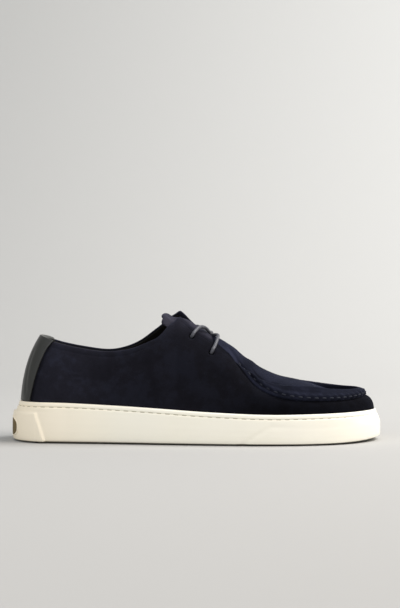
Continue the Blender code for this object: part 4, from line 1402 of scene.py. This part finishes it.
CORD = 2.6
TWIST, TWIST_RIDGE = 4.2, 0.035         # mm to a third of a turn; ridges as a share of the radius
FRONT_CORD = [(15.4, -22.2, 77.2), (17.3, -15.5, 82.0), (17.6, -9.5, 84.3), (15.8, -4.0, 84.7),
              (13.0, 2.0, 84.4), (9.2, 8.6, 86.2), (4.6, 14.0, 89.8), (0.2, 17.8, 91.2)]
BACK_CORD = [(-1.0, -19.3, 87.4), (2.2, -14.0, 90.6), (5.4, -8.0, 91.2), (8.4, -3.0, 89.6),
             (10.6, 2.0, 87.0), (12.0, 8.0, 86.4), (12.9, 14.6, 85.8), (12.9, 19.8, 82.0)]


# At an eyelet: mm from its middle towards the crossing, and mm over the facing
DIVE = [(2.2, -3.3), (0.9, -1.7), (0.95, -0.3), (1.8, 0.9), (3.3, 1.6)]


def cord_route(start, middle, end):
    """Smooth route of a cord that goes down through an eyelet at each end."""
    def through(t, v, towards):
        normal = wall_normal(t, v)
        aside = np.array(towards) - wall(t, v)
        aside = unit(aside - normal * (aside @ normal))
        return [wall(t, v) + aside * reach + normal * rise for reach, rise in DIVE]

    route = through(*start, middle[0]) + [np.array(p) for p in middle] + through(*end, middle[-1])[::-1]
    curve = open_curve(np.array(route))
    return [curve(k / 8) for k in range(8 * (len(route) - 1) + 1)]


def cord(name, route):
    """Round twisted cord along its route."""
    frames = []
    across = UP
    gone = 0.0
    for k, middle in enumerate(route):
        run = unit(route[min(k + 1, len(route) - 1)] - route[max(k - 1, 0)])
        across = unit(across - run * (across @ run))
        gone += float(np.linalg.norm(middle - route[max(k - 1, 0)]))
        frames.append((middle, across, np.cross(run, across), gone))

    def spot(angle, k):
        middle, one, two, gone = frames[k]
        swell = 1 + TWIST_RIDGE * math.cos(3 * angle + gone * 2 * math.pi / TWIST)
        size = CORD / 2 * swell * (0.35 if k in (0, len(frames) - 1) else 1.0)
        return middle + (one * math.cos(angle) - two * math.sin(angle)) * size

    return laid(name, [2 * math.pi * j / 20 for j in range(21)], list(range(len(frames))), spot,
                closed=True)


lower_out, upper_out, lower_in, upper_in = eyelet_places
lace = joined("waxed_lace", [cord("front_cord", cord_route(lower_out, FRONT_CORD, upper_in)),
                             cord("back_cord", cord_route(upper_out, BACK_CORD, lower_in))])
# Waxed cotton: tight braid that shows as fine slanted ridges, slate grey, slightly shiny.
waxed = new_material("waxed_slate_cotton", Roughness=0.48, Specular_IOR_Level=0.4)
place = add_node(waxed, "TexCoord").outputs["Object"]
weave = add_node(waxed, "TexNoise", Vector=place, Scale=900.0, Detail=2.0)
tone = add_node(waxed, "Mix", COLOURS, _0=weave, _6=linear("3a3b42"), _7=linear("5d5e66"))
feed(waxed, "Base Color", tone.outputs[2])
braid = add_node(waxed, "Bump", Height=weave, Strength=0.3, Distance=0.0003)
feed(waxed, "Normal", braid)
finish_piece(lace, waxed, "lace", "lace")
